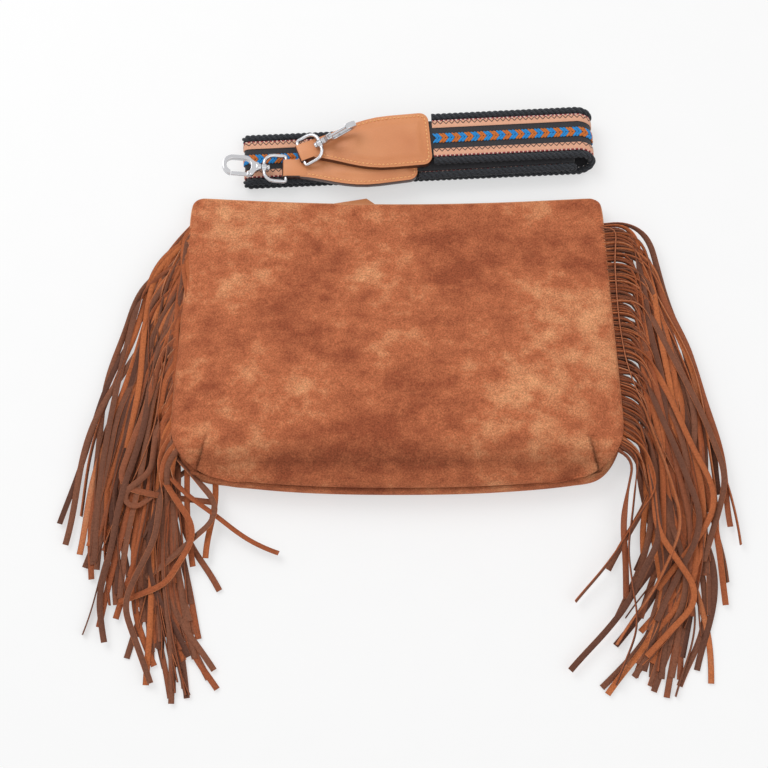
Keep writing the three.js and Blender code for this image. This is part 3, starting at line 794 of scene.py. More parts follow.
@dataclass
class SuedeShell:
    """A suede panel: the frame's panel made fine, with soft dents and creases."""

    node: str
    levels: int = 3
    dent: float = 1.0
    wrinkle: float = 0.3
    pleat_in: float = 17.0
    pleat: float = 3.0
    pleat_lean: float = 0.28
    pleat_low: float = -106.0
    pleat_at: float = -83.0
    pleat_high: float = -72.0
    rim_width: float = 1.3
    rim_from: float = -78.0
    seam_drop: float = 2.4
    bulge_in: float = 1.0
    seam_reach: float = 14.0
    front_share: float = -0.4

    def build(self) -> bpy.types.Object:
        """Builds and dresses the panel.

        Returns:
            The panel.
        """
        made = copy_of(self.node, f"{self.node}_suede")
        work = bmesh.new()
        work.from_mesh(made.data)
        bmesh.ops.join_triangles(
            work, faces=work.faces, angle_face_threshold=math.radians(50),
            angle_shape_threshold=math.radians(80),
        )
        work.to_mesh(made.data)
        work.free()
        smooth = made.modifiers.new("smooth", "SUBSURF")
        smooth.levels = smooth.render_levels = self.levels
        apply_modifiers(made)
        made.data.materials.append(Finish.SUEDE.material)
        self.dent_skin(made)
        tidy_normals(made, 50)
        return settle(made, ROOT, "suede", self.node)

    def dent_skin(self, made: bpy.types.Object) -> None:
        """Dents and pleats the skin, draws it in at the base seam, tones its rim and paints shade into the
        pleats' creases.

        Args:
            made: The panel.
        """
        count = len(made.data.vertices)
        points = np.empty(count * 3)
        made.data.vertices.foreach_get("co", points)
        points = points.reshape(-1, 3)
        x, y, z = points.T / MM
        lift, crease = self.waves(x, y), np.zeros(count)
        if self.node == "front_panel":
            lift *= self.front_share * np.clip((z - 2.5) / 4, 0, 1)
        else:
            pleated, crease = self.pleat_lift(x, y)
            lift += pleated
        points[:, 1] -= self.seam_shift(x, y, z) * MM
        points[:, 2] += lift * MM
        made.data.vertices.foreach_set("co", points.reshape(-1))
        # The tone holds the rim's share and, below zero, the painted shade of the pleats' creases.
        tone = made.data.attributes.new("tone", "FLOAT", "POINT")
        tone.data.foreach_set("value", (self.rim(x, y) - crease).astype(np.float32))

    def waves(self, x: np.ndarray, y: np.ndarray) -> np.ndarray:
        """Gives the skin's slow dents and fine wrinkles, which fade towards its seams.

        Args:
            x: The points' places across the bag, in millimetres.
            y: Their places along it.

        Returns:
            The lifts, in millimetres.
        """
        slow = np.sin(x / 41 + 1.1) * np.sin(y / 33 + 0.4) + 0.6 * np.sin((x + 1.6 * y) / 27 + 2.0)
        fine = np.sin((x - 0.5 * y) / 9.5 + 1.5 * np.sin(y / 21)) * np.sin((y + 0.3 * x) / 12.5)
        inside = np.clip((160 - np.abs(x)) / 40, 0, 1) * np.clip((108 - y) / 30, 0.15, 1)
        inside *= np.clip((y + 108) / 30, 0, 1)
        return (self.dent * (slow + 1.6) + self.wrinkle * (fine + 1.0)) * inside

    def seam_shift(self, x: np.ndarray, y: np.ndarray, z: np.ndarray) -> np.ndarray:
        """Gives how far the skin moves towards the base, so that the seam lies under its edge.

        Args:
            x: The points' places across the bag, in millimetres.
            y: Their places along it.
            z: Their heights.

        Returns:
            The moves towards the base, in millimetres.
        """
        near = np.clip((OUTLINE.base_line(x) + self.seam_reach - y) / self.seam_reach, 0, 1)
        near *= np.clip((150 - np.abs(x)) / 20, 0, 1)
        upper = np.clip((z - 12) / 6, 0, 1)
        return (self.seam_drop * upper - self.bulge_in * (1 - upper)) * near

    def rim(self, x: np.ndarray, y: np.ndarray) -> np.ndarray:
        """Gives 1 at the cut edges by the mouth and the sides, and 0 inside them.

        Args:
            x: The points' places across the bag, in millimetres.
            y: Their places along it.

        Returns:
            The rim's shares.
        """
        side = 1 - (side_half(y) - np.abs(x)) / self.rim_width
        mouth = 1 - (OUTLINE.mouth_line(x) - y) / self.rim_width
        return np.clip(np.maximum(side * np.clip((y - self.rim_from) / 14, 0, 1), mouth), 0, 1)

    def pleat_lift(self, x: np.ndarray, y: np.ndarray) -> tuple[np.ndarray, np.ndarray]:
        """Gives the lift and the shadow of the skin by the pleats at the base's corners.

        Args:
            x: The points' places across the bag, in millimetres.
            y: Their places along it.

        Returns:
            The lifts, in millimetres, and the depths of the shadow.
        """
        lean = self.pleat_lean * (y - self.pleat_low)
        past = side_half(self.pleat_at) - self.pleat_in - np.abs(x) - lean
        hill = np.where(past > 0, np.exp(-np.maximum(past, 0) / 9), -0.7 * np.exp(np.minimum(past, 0) / 5))
        near = np.clip((self.pleat_high - y) / 16, 0, 1) * np.clip((y - OUTLINE.base_line(x)) / 5, 0, 1)
        return self.pleat * hill * near, np.exp(-(((past + 0.6) / 1.1) ** 2)) * near


@dataclass
class BasePiping:
    """The folded suede edge that lies in the groove of the base seam, darkened by its shadow tone as painted
    shade of the groove.
    """

    half_length: float = 150.0
    z: float = 19.3
    drop: float = 1.9
    fade: float = 20.0
    half_wide: float = 1.5
    half_high: float = 1.2
    stations: int = 120
    sides: int = 8
    shadow: float = -0.45

    def build(self) -> bpy.types.Object:
        """Builds and dresses the edge.

        Returns:
            The edge.
        """
        turns = np.linspace(0, 2 * math.pi, self.sides, endpoint=False)
        rings = []
        for x in np.linspace(-self.half_length, self.half_length, self.stations):
            drop = self.drop * float(np.clip((self.half_length - abs(x)) / self.fade, 0.1, 1))
            middle = float(OUTLINE.base_line(x)) - drop
            rings.append([(x, middle + self.half_wide * math.cos(a), self.z + self.half_high * math.sin(a))
                          for a in turns])
        part = Part("base_piping", Finish.SUEDE)
        part.sweep(np.array(rings), None, 0, self.shadow)
        return settle(part.object(80), ROOT, "suede")


@dataclass(frozen=True)
class Stray:
    """A strand that leaves the others.

    Its turns are places along it, angles in degrees and the lengths that they take.
    """

    index: int
    turns: tuple[Trio, ...]
    stretch: float = 1.0


LEFT_STRAYS = (
    Stray(0, ((2, 38, 12), (20, -26, 50), (110, -22, 40))),
    Stray(1, ((2, 32, 12), (20, -24, 50), (130, -12, 40))),
    Stray(3, ((2, 34, 12), (20, -24, 50))),
    Stray(5, ((2, 22, 12), (20, -14, 50), (90, 10, 40))),
    Stray(16, ((0, -8, 20), (200, 30, 40)), 1.15),
    Stray(20, ((112, 86, 24),), 0.9),
    Stray(24, ((82, -48, 20), (108, 185, 30)), 0.84),
    Stray(33, ((36, 48, 34), (104, 26, 40)), 0.8),
    Stray(36, ((12, 40, 25), (62, -92, 36)), 0.78),
    Stray(38, ((18, 42, 28), (66, -68, 36), (112, -40, 26)), 0.86),
    Stray(40, ((60, -20, 30), (110, 40, 30))),
)
RIGHT_STRAYS = (
    Stray(0, ((4, 90, 14), (12, -74, 44), (100, -24, 50))),
    Stray(14, ((150, 35, 40),)),
    Stray(22, ((120, 52, 50),)),
    Stray(27, ((110, 44, 50),), 0.98),
    Stray(30, ((96, 44, 40), (160, 8, 30))),
    Stray(34, ((84, 46, 40), (140, 8, 30)), 1.04),
    Stray(37, ((30, 8, 30), (70, -30, 30), (120, 86, 40)), 0.94),
    Stray(38, ((36, 54, 30),), 0.74),
    Stray(40, ((10, 22, 20), (70, -14, 30), (120, 34, 40)), 0.9),
    Stray(41, ((8, 26, 20), (50, -14, 30)), 0.56),
)


@dataclass(frozen=True)
class Strand:
    """One strand's own course: its headings in degrees, its lengths and its turns."""

    y: float
    length: float
    start: float
    main: float
    end: float
    knee: float
    turns: tuple[Trio, ...]
    height: float
    root_twist: float
    rest_twist: float
    roll_at: float
    sway: float
    wave: float
    phase: float
    tones: Trio

    def heading(self, s: float) -> float:
        """Gives the strand's heading at a place along it.

        Args:
            s: The place, in millimetres from the seam.

        Returns:
            The heading, in radians down from straight out.
        """
        turned = mix(self.start, self.main, smoothstep(s, 4.0, 4.0 + self.knee))
        turned += (self.end - self.main) * smoothstep(s, 0.4 * self.length, 0.92 * self.length)
        calm = smoothstep(s, self.knee, self.knee + 50)
        turned += self.sway * calm * math.sin(2 * math.pi * s / self.wave + self.phase)
        turned += sum(turn * smoothstep(s, at, at + over) for at, turn, over in self.turns)
        return math.radians(turned)

    def twist(self, s: float) -> float:
        """Gives the turn of the strand's right side from straight up at a place along it."""
        rooted = self.root_twist * smoothstep(s, -4.0, 5.0)
        return mix(rooted, self.rest_twist, smoothstep(s, self.roll_at, self.roll_at + 30))


@dataclass
class Fringe:
    """The strands of one side: plies cut from strips of suede sewn into the seam."""

    name: str
    sign: int
    start: Trio
    main: Trio
    end: Trio
    knee: Trio
    root_turn: tuple[float, float]
    strays: Sequence[Stray]
    seed: int
    per_ply: int = 42
    plies: int = 3
    width: float = 4.5
    thick: float = 1.0
    top_y: float = 94.0
    base_y: float = -84.0
    long_top: float = 248.0
    long_base: float = 190.0
    step: float = 3.4
    pile: float = 14.0
    root_in: float = 3.0
    root_spread: float = 3.0
    spread: float = 5.0
    steepest_start: float = 84.0
    steepest: float = 94.0
    ply_rise: float = 0.8
    skin: float = 0.35
    off_floor: float = 0.15

    def draw_strand(self, index: int, ply: int, draw: random.Random) -> Strand:
        """Draws one strand's course.

        Args:
            index: Its place in its ply, from the mouth.
            ply: Its ply, from the floor.
            draw: The source of its chances.

        Returns:
            The course.
        """
        share = index / (self.per_ply - 1)
        pitch = (self.top_y - self.base_y) / self.per_ply

        def between(values: Trio) -> float:
            """Gives the value for this place on the side."""
            return float(np.interp(share, (0.0, 0.5, 1.0), values))

        upper = ply == self.plies - 1
        stray = next((s for s in self.strays if s.index == index and upper), None)
        turns = stray.turns if stray else ()
        stretch = stray.stretch if stray else draw.uniform(0.9, 1.05)
        knee = between(self.knee) * draw.uniform(0.75, 1.25)
        back = draw.uniform(0.0, 0.34)
        face = draw.choice([draw.uniform(0.5, 0.8), draw.uniform(0.4, 0.65), draw.uniform(0.2, 0.48)])
        edge = draw.choice([0.3, 0.5, 0.9]) + draw.gauss(0, 0.06)
        # Painted shade: the faces of the lowest ply are darkened to stand for the shade that falls between
        # the strands above it.
        if not ply:
            face *= 0.6
        layer = min(1.0, 0.5 * (1 - share) + 0.12 * ply + draw.uniform(0.02, 0.3))
        return Strand(
            y=self.top_y - (index + 0.4 + 0.45 * ply % 1) * pitch,
            length=mix(self.long_top, self.long_base, share) * stretch,
            start=min(self.steepest_start, between(self.start) + draw.gauss(0, self.root_spread)),
            main=min(self.steepest - 4.0 * (1 - share), between(self.main) + draw.gauss(0, self.spread)),
            end=between(self.main if stray else self.end) + draw.gauss(0, 0 if stray else 7.0 + 8.0 * share),
            knee=knee,
            turns=turns,
            height=self.pile * (1.0 if stray else layer),
            root_twist=math.pi / 2 * draw.uniform(*self.root_turn),
            rest_twist=draw.choice([0.0, math.pi, 0.0, math.pi, 0.0, math.pi / 2]) + draw.gauss(0, 0.2),
            roll_at=knee * draw.uniform(0.35, 1.5),
            sway=draw.uniform(1.5, 7.0),
            wave=draw.uniform(70, 170),
            phase=draw.uniform(0, 2 * math.pi),
            tones=(back, edge, face),
        )

    def strand(self, part: Part, own: Strand, ply: int) -> None:
        """Adds one strand.

        Args:
            part: The mesh that takes it.
            own: Its course.
            ply: Its ply, from the floor.
        """
        root_z = side_height(own.y) + (ply - 0.5) * self.ply_rise
        place = np.array([float(side_half(own.y)) - self.root_in, own.y])
        half, edge, deep = self.width / 2, self.width / 2 - self.skin, self.thick / 2
        section = ((-half, 0), (-edge, -deep), (edge, -deep), (half, 0), (edge, deep), (-edge, deep))
        count = int(own.length / self.step) + 1
        pace = own.length / count
        rings, coords = [], []
        for i in range(count + 1):
            s = pace * i
            heading, twist = own.heading(s), own.twist(s)
            if i:
                place = place + pace * np.array([math.cos(heading), -math.sin(heading)])
            drop = smoothstep(s, 3.0, own.knee + 30)
            hump = 2.5 * math.sin(math.pi * min(1.0, s / (own.knee + 20)))
            low = mix(own.height, 0.45 * own.height, smoothstep(s, own.length * 0.5, own.length))
            lean = abs(math.sin(twist)) * half + abs(math.cos(twist)) * deep
            z = max(mix(root_z, low, drop) + hump * (1 - drop), lean + self.off_floor)
            sideways = np.array([math.sin(heading), math.cos(heading), 0.0])
            across = sideways * math.cos(twist) + np.array([0.0, 0.0, math.sin(twist)])
            through = -sideways * math.sin(twist) + np.array([0.0, 0.0, math.cos(twist)])
            centre = np.array([place[0], place[1], z])
            ring = [centre + a * across + b * through for a, b in section]
            rings.append([(self.sign * p[0], p[1], p[2]) for p in ring])
            coords.append([(s * MM, a * MM) for a, _ in section])
        back, edge_tone, face = own.tones
        tones = np.tile(np.array([edge_tone, back, back, edge_tone, face, face]), (len(rings), 1))
        part.sweep(np.array(rings), np.array(coords), 0, tones)

    def build(self) -> bpy.types.Object:
        """Builds the fringe.

        Returns:
            The fringe.
        """
        draw = random.Random(self.seed)
        part = Part(f"{self.name}_strands", Finish.FRINGE)
        for ply in range(self.plies):
            for index in range(self.per_ply):
                self.strand(part, self.draw_strand(index, ply, draw), ply)
        return settle(part.object(60), ROOT, "fringe_suede", self.name)


@dataclass(frozen=True)
class Station:
    """A place on the strap's line, with the turn of its patterned face from straight up."""

    x: float
    z: float
    side: float
    tilt: float
    run: float


@dataclass
class StrapLine:
    """The folded strap's line, from the upper leather end to the lower one."""

    at_y: float = 153.0
    turn: float = 3.0
    layer: float = 6.1
    first: float = 2.9
    fold_left: float = -114.0
    fold_right: float = 141.0
    fold_inner: float = 133.0
    upper_edge: float = 26.0
    upper_side: float = 4.9
    lower_edge: float = 14.0
    lower_side: float = -4.2
    outer_top: float = 5.0
    outer_base: float = -1.0
    inner_base: float = -1.0
    inner_top: float = -2.5
    fold_spans: int = 24

    def layer_z(self, index: float) -> float:
        """Gives a layer's middle height."""
        return self.first + index * self.layer

    def corners(self, gap: float) -> list[tuple[float, float, float, float]]:
        """Lists the line's bends finely enough to be smoothed along.

        Args:
            gap: The distance from the leather ends.

        Returns:
            Places as x, z, side and tilt.
        """
        rows = [(self.upper_edge + gap, self.layer_z(3), self.upper_side, 0.0)]

        def fold(x: float, level: float, radius: float, turns: tuple[float, float],
                 sides: tuple[float, float], inward: bool) -> None:
            """Adds one fold's places.

            Args:
                x: The middle of its turn.
                level: The layer at its middle.
                radius: Its radius.
                turns: Its first and last tilt, in degrees.
                sides: Its first and last place across.
                inward: Whether the patterned face is on the inside of the turn.
            """
            reach = -radius if inward else radius
            for i in range(self.fold_spans + 1):
                tilt = math.radians(mix(*turns, i / self.fold_spans))
                rows.append((x + reach * math.sin(tilt), self.layer_z(level) + reach * math.cos(tilt),
                             mix(*sides, i / self.fold_spans), tilt))

        fold(self.fold_right, 1.5, 1.5 * self.layer, (0, 180), (self.outer_top, self.outer_base), False)
        fold(self.fold_left, 0.5, 0.5 * self.layer, (180, 360), (0.0, 0.0), False)
        fold(self.fold_inner, 1.5, 0.5 * self.layer, (360, 180), (self.inner_base, self.inner_top), True)
        rows.append((self.lower_edge + gap, self.layer_z(2), self.lower_side, math.pi))
        return rows

    def stations(self, gap: float, step: float) -> list[Station]:
        """Walks along the line.

        Args:
            gap: The distance from the leather ends.
            step: The length of a step.

        Returns:
            The stations.
        """
        rows = np.array(self.corners(gap))
        legs = np.linalg.norm(np.diff(rows[:, :3], axis=0), axis=1)
        run = np.concatenate([[0.0], np.cumsum(legs)])
        walk = np.linspace(0, run[-1], int(run[-1] / step) + 1)
        columns = [np.interp(walk, run, rows[:, k]) for k in range(4)]
        return [Station(x, z, side, tilt, s) for x, z, side, tilt, s in zip(*columns, walk)]

    def world(self, points: Grid) -> Grid:
        """Turns and moves points from the strap's own frame to the bag's.

        Args:
            points: The points, in millimetres.

        Returns:
            The moved points.
        """
        angle = math.radians(self.turn)
        x = points[..., 0] * math.cos(angle) - points[..., 1] * math.sin(angle)
        y = points[..., 0] * math.sin(angle) + points[..., 1] * math.cos(angle) + self.at_y
        return np.stack([x, y, points[..., 2]], axis=-1)

    def carry(self, stations: Sequence[Station], section: Callable[[Station], Section]) -> Grid:
        """Carries a section along the line.

        Args:
            stations: The stations.
            section: Gives the section's across and proud places at a station.

        Returns:
            The rings, in the bag's frame.
        """
        rings = [[(st.x + proud * math.sin(st.tilt), st.side + across, st.z + proud * math.cos(st.tilt))
                  for across, proud in section(st)] for st in stations]
        return self.world(np.array(rings))


@dataclass
class StrapCloth:
    """The strap's webbing, cords, ribbons and braid."""

    line: StrapLine = field(default_factory=StrapLine)
    web_width: float = 30.0
    web_thick: float = 2.0
    cord_radius: float = 3.0
    cord_lay: float = 13.2
    cord_yarns: int = 3
    cord_sides: int = 10
    cord_gap: float = 0.3
    cord_half: float = 2.9
    ribbon_width: float = 5.4
    ribbon_at: float = 11.4
    ribbon_low: float = 0.1
    ribbon_high: float = 0.9
    dotted_at: float = 14.5
    dotted_half: float = 0.65
    braid_width: float = 8.6
    braid_step: float = 4.9
    plaits_a_colour: int = 2
    plait_reach: float = 3.6
    plait_half: float = 1.3
    plait_high: float = 0.68
    plait_sides: int = 8
    plait_rings: int = 9
    end_gap: float = 2.0
    inside_ends: float = -46.0

    def strip(self, name: str, finish: Finish, slot: str, node: str, middle: float, width: float,
              low: float, high: float, gap: float) -> bpy.types.Object:
        """Builds a flat strip with softly rounded edges.

        Args:
            name: Its name.
            finish: Its finish.
            slot: The record's material slot.
            node: The node it stands for.
            middle: Its middle, across the strap.
            width: Its width.
            low: Its underside's height over the strap's middle.
            high: Its top's height.
            gap: The distance from the leather ends.

        Returns:
            The strip.
        """
        round_in = (high - low) * 0.3
        half = width / 2
        section = [(middle - half, low + round_in), (middle - half + round_in, low),
                   (middle + half - round_in, low), (middle + half, low + round_in),
                   (middle + half, high - round_in), (middle + half - round_in, high),
                   (middle, high + 0.08), (middle - half + round_in, high), (middle - half, high - round_in)]
        stations = self.line.stations(gap, 1.8)
        rings = self.line.carry(stations, lambda _: section)
        coords = np.array([[(st.run * MM, (a - middle) * MM) for a, _ in section] for st in stations])
        part = Part(name, finish)
        part.sweep(rings, coords)
        return settle(part.object(), ROOT, slot, node)

    def cord(self, name: str, node: str, middle: float) -> bpy.types.Object:
        """Builds a cord of twisted yarns.

        Args:
            name: Its name.
            node: The node it stands for.
            middle: Its middle, across the strap.

        Returns:
            The cord.
        """
        yarn_radius = self.cord_radius * 0.5
        offset = self.cord_radius - yarn_radius
        turns = [2 * math.pi * k / self.cord_sides for k in range(self.cord_sides)]
        pace = 1.1
        stations = self.line.stations(self.end_gap, pace)
        coords = np.array([[(st.run * MM, k * pace * MM) for k in range(self.cord_sides)] for st in stations])
        part = Part(name, Finish.CORD)
        for yarn in range(self.cord_yarns):
            def section(st: Station) -> Section:
                """Gives the yarn's section.

                Args:
                    st: The station.

                Returns:
                    The section's across and proud places.
                """
                lay = 2 * math.pi * (st.run / self.cord_lay + yarn / self.cord_yarns)
                cx, cz = middle + offset * math.cos(lay), offset * math.sin(lay)
                return [(cx + yarn_radius * math.cos(a), cz + yarn_radius * math.sin(a)) for a in turns]

            part.sweep(self.line.carry(stations, section), coords)
        return settle(part.object(70), ROOT, "black_cord", node)

    def braid(self) -> bpy.types.Object:
        """Builds the chevron braid from two rows of slanted plaits.

        Returns:
            The braid.
        """
        part = Part("chevron_braid_plaits", Finish.BLUE, Finish.ORANGE)
        fine = self.line.stations(self.end_gap, 0.3)
        pitch = self.braid_step / self.plaits_a_colour
        for index in range(int(fine[-1].run / pitch)):
            slot = (index // self.plaits_a_colour) % 2
            for side in (-1, 1):
                rings, coords = self.plait(fine, index * pitch + 0.4, side)
                part.sweep(rings, coords, slot)
        return settle(part.object(80), ROOT, "two_colour_braid", "chevron_braid")

    def plait(self, fine: Sequence[Station], start: float, side: int) -> tuple[Grid, Grid]:
        """Gives one slanted plait of the braid.

        Args:
            fine: The line's stations, close together.
            start: The place along the line where it reaches the braid's edge.
            side: The side that it lies on, -1 or 1.

        Returns:
            Its rings and their flat places.
        """
        last = len(fine) - 1
        middle = self.web_thick / 2 + self.ribbon_low + 0.5
        rings, coords = [], []
        for t in np.linspace(0, 1, self.plait_rings):
            across = side * mix(-0.35, self.braid_width / 2 - 0.3, t)
            run = start + self.plait_reach * (1 - t)
            swell = math.sqrt(max(0.05, 1 - (2 * t - 1) ** 4))
            ring, flat = [], []
            for turn in np.linspace(0, 2 * math.pi, self.plait_sides, endpoint=False):
                along = run + self.plait_half * swell * math.cos(turn)
                up = middle + self.plait_high * swell * math.sin(turn) + 0.1 * side * (0.5 - t)
                near = fine[min(max(round(along / fine[-1].run * last), 0), last)]
                ring.append((near.x + up * math.sin(near.tilt), near.side + across,
                             near.z + up * math.cos(near.tilt)))
                flat.append((along * MM, across * MM))
            rings.append(ring)
            coords.append(flat)
        return self.line.world(np.array(rings)), np.array(coords)

    def dotted_line(self, name: str, middle: float) -> bpy.types.Object:
        """Builds a line of small loops beside a ribbon, red and pink by turns.

        Args:
            name: Its name.
            middle: Its middle, across the strap.

        Returns:
            The line.
        """
        part = Part(name, Finish.DOTTED, Finish.PLAIN)
        stations = self.line.stations(2.5, 0.55)
        each = 3
        low, round_in = self.web_thick / 2, 0.3
        high, half = low + 0.4, self.dotted_half
        section = [(middle - half, low), (middle + half, low), (middle + half, high),
                   (middle + half - round_in, high + 0.35), (middle - half + round_in, high + 0.35),
                   (middle - half, high)]
        for index in range(0, len(stations) - each, each):
            rings = self.line.carry(stations[index:index + each], lambda _: section)
            part.sweep(rings, None, (index // each) % 2)
        return settle(part.object(), ROOT, "peach_ribbon")

    def build(self) -> None:
        """Builds every strip of the strap."""
        half = self.web_thick / 2
        self.strip("strap_webbing_weave", Finish.WEBBING, "grey_webbing", "strap_webbing", 0.0,
                   self.web_width, -half, half, self.inside_ends)
        cord_at = self.web_width / 2 + self.cord_gap + self.cord_half
        self.cord("edge_cord_far_twist", "edge_cord_far", cord_at)
        self.cord("edge_cord_near_twist", "edge_cord_near", -cord_at)
        for name, side in (("far", 1), ("near", -1)):
            self.strip(f"ribbon_{name}_weave", Finish.RIBBON, "peach_ribbon", f"ribbon_{name}",
                       side * self.ribbon_at, self.ribbon_width, half + self.ribbon_low,
                       half + self.ribbon_high, self.end_gap)
            self.dotted_line(f"dotted_line_{name}", side * self.dotted_at)
        self.braid()


@dataclass
class LeatherEnd:
    """A leather strap end: plies with stitches, a padded middle and a painted edge."""

    name: str
    left: float
    layer: int
    side_left: float
    side_right: float
    line: StrapLine = field(default_factory=StrapLine)
    length: float = 90.0
    neck: float = 15.0
    width: float = 43.0
    shoulder: float = 60.0
    corner: float = 7.0
    half_thick: float = 2.7
    pad_in: float = 4.2
    pad: float = 1.3
    pad_slope: float = 5.5
    pad_from: float = 0.32
    stitch_in: float = 2.4
    stitch: float = 2.2
    stitch_step: float = 3.1
    stitch_radius: float = 0.6
    stitch_sides: int = 6
    bevel: float = 0.35

    def outline(self, inset: float, count: int = 220) -> Grid:
        """Traces the end's outline.

        Args:
            inset: The distance inside the edge.
            count: The number of points.

        Returns:
            The outline's points, from the neck round to the neck.
        """
        half, neck = self.width / 2, self.neck / 2
        lower = []
        for t in np.linspace(0, 1, 25):
            w = [(1 - t) ** 3, 3 * t * (1 - t) ** 2, 3 * t * t * (1 - t), t ** 3]
            xs = [0, 0.3 * self.shoulder, 0.55 * self.shoulder, self.shoulder]
            ys = [neck, neck + 3, half, half]
            lower.append((sum(a * b for a, b in zip(w, xs)), -sum(a * b for a, b in zip(w, ys))))
        for angle in np.linspace(0, math.pi / 2, 9):
            lower.append((self.length - self.corner + self.corner * math.sin(angle),
                          -half + self.corner - self.corner * math.cos(angle)))
        points = np.array(lower + [(x, -y) for x, y in reversed(lower)])
        legs = np.linalg.norm(np.diff(points, axis=0), axis=1)
        run = np.concatenate([[0.0], np.cumsum(legs)])
        walk = np.linspace(0, run[-1], count)
        path = np.stack([np.interp(walk, run, points[:, k]) for k in (0, 1)], axis=-1)
        ahead = np.gradient(path, axis=0)
        ahead /= np.linalg.norm(ahead, axis=1)[:, None]
        inward = np.stack([-ahead[:, 1], ahead[:, 0]], axis=-1)
        return path + inset * inward

    def to_bag(self, points: Grid) -> Grid:
        """Moves points from the end's own frame to the bag's.

        Args:
            points: The points, in millimetres.

        Returns:
            The moved points.
        """
        slope = math.atan2(self.side_right - self.side_left, self.length)
        x = self.left + points[..., 0] * math.cos(slope) - points[..., 1] * math.sin(slope)
        y = self.side_left + points[..., 0] * math.sin(slope) + points[..., 1] * math.cos(slope)
        z = points[..., 2] + self.line.layer_z(self.layer)
        return self.line.world(np.stack([x, y, z], axis=-1))

    def stitches(self) -> bpy.types.Object:
        """Builds the row of stitches on both faces.

        Returns:
            The stitches.
        """
        part = Part(f"{self.name}_stitches", Finish.THREAD)
        path = self.outline(self.stitch_in, 900)[20:-20]
        run = np.concatenate([[0.0], np.cumsum(np.linalg.norm(np.diff(path, axis=0), axis=1))])
        for face in (-1, 1):
            start = 1.0
            while start + self.stitch < run[-1]:
                part.sweep(self.to_bag(self.stitch_rings(path, run, start, face)))
                start += self.stitch_step
        return settle(part.object(80), ROOT, "leather")

    def stitch_rings(self, path: Grid, run: Grid, start: float, face: int) -> Grid:
        """Gives one stitch's rings.

        Args:
            path: The points of the row of stitches.
            run: Their distances along the row.
            start: Where the stitch starts.
            face: The face that it lies on, -1 or 1.

        Returns:
            The rings, in the end's own frame.
        """

        def on_path(at: float) -> np.ndarray:
            """Gives the point at a distance along the row."""
            return np.array([np.interp(at, run, path[:, 0]), np.interp(at, run, path[:, 1])])

        rings = []
        for t in np.linspace(0, 1, 5):
            centre = on_path(start + self.stitch * t)
            ahead = on_path(start + self.stitch * t + 0.2) - centre
            ahead /= max(1e-6, float(np.linalg.norm(ahead)))
            out = np.array([-ahead[1], ahead[0]])
            radius = self.stitch_radius * math.sqrt(max(0.1, 1 - (2 * t - 1) ** 4))
            lift = self.half_thick - 0.05 + 0.28 * math.sin(math.pi * t)
            ring = []
            for k in range(self.stitch_sides):
                turn = 2 * math.pi * k / self.stitch_sides
                flat = centre + out * radius * math.cos(turn)
                ring.append((flat[0], flat[1], face * lift + radius * math.sin(turn)))
            rings.append(ring)
        return np.array(rings)

    def padding(self) -> bpy.types.Object:
        """Builds the soft swell of the padded middle on the upper face.

        Returns:
            The swell.
        """
        part = Part(f"{self.name}_padding", Finish.LEATHER)
        edge = self.outline(self.pad_in)
        side = edge[edge[:, 1] > 0]
        side = side[np.argsort(side[:, 0])]
        across = -np.cos(np.linspace(0, math.pi, 25))
        first, last = self.pad_from * self.shoulder, self.length - self.pad_in
        rings = []
        for x in np.linspace(first, last - 0.1, 60):
            half = float(np.interp(x, side[:, 0], side[:, 1]))
            nearest = np.minimum(half * (1 - np.abs(across)), last - x)
            fall = np.clip((x - first) / 16, 0, 1)
            rise = self.pad * fall * np.sin(np.clip(nearest / self.pad_slope, 0, 1) * math.pi / 2) ** 2
            top = [(x, half * a, self.half_thick + h - 0.02) for a, h in zip(across, rise)]
            low = [(x, half, self.half_thick - 0.3), (x, -half, self.half_thick - 0.3)]
            rings.append(top + low)
        part.sweep(self.to_bag(np.array(rings)))
        return settle(part.object(50), ROOT, "leather")

    def build(self) -> None:
        """Dresses the end's leather and adds its stitches and padding."""
        painted_leather(f"leather_end_{self.name}", f"{self.name}_leather", self.bevel, 40.0)
        self.stitches()
        self.padding()


@dataclass
class Casting:
    """A polished casting: the frame's solid with its edges rounded off all over."""

    node: str
    body: str
    voxel: float = 0.3
    passes: int = 5

    def build(self) -> bpy.types.Object:
        """Builds and dresses the casting.

        Returns:
            The casting.
        """
        made = copy_of(self.node, f"{self.node}_cast")
        remesh = made.modifiers.new("remesh", "REMESH")
        remesh.mode = "VOXEL"
        remesh.voxel_size = self.voxel * MM
        soften = made.modifiers.new("soften", "SMOOTH")
        soften.factor = 0.5
        soften.iterations = self.passes
        apply_modifiers(made)
        made.data.materials.append(Finish.NICKEL.material)
        made.data.shade_smooth()
        return settle(made, self.body, "nickel", self.node)


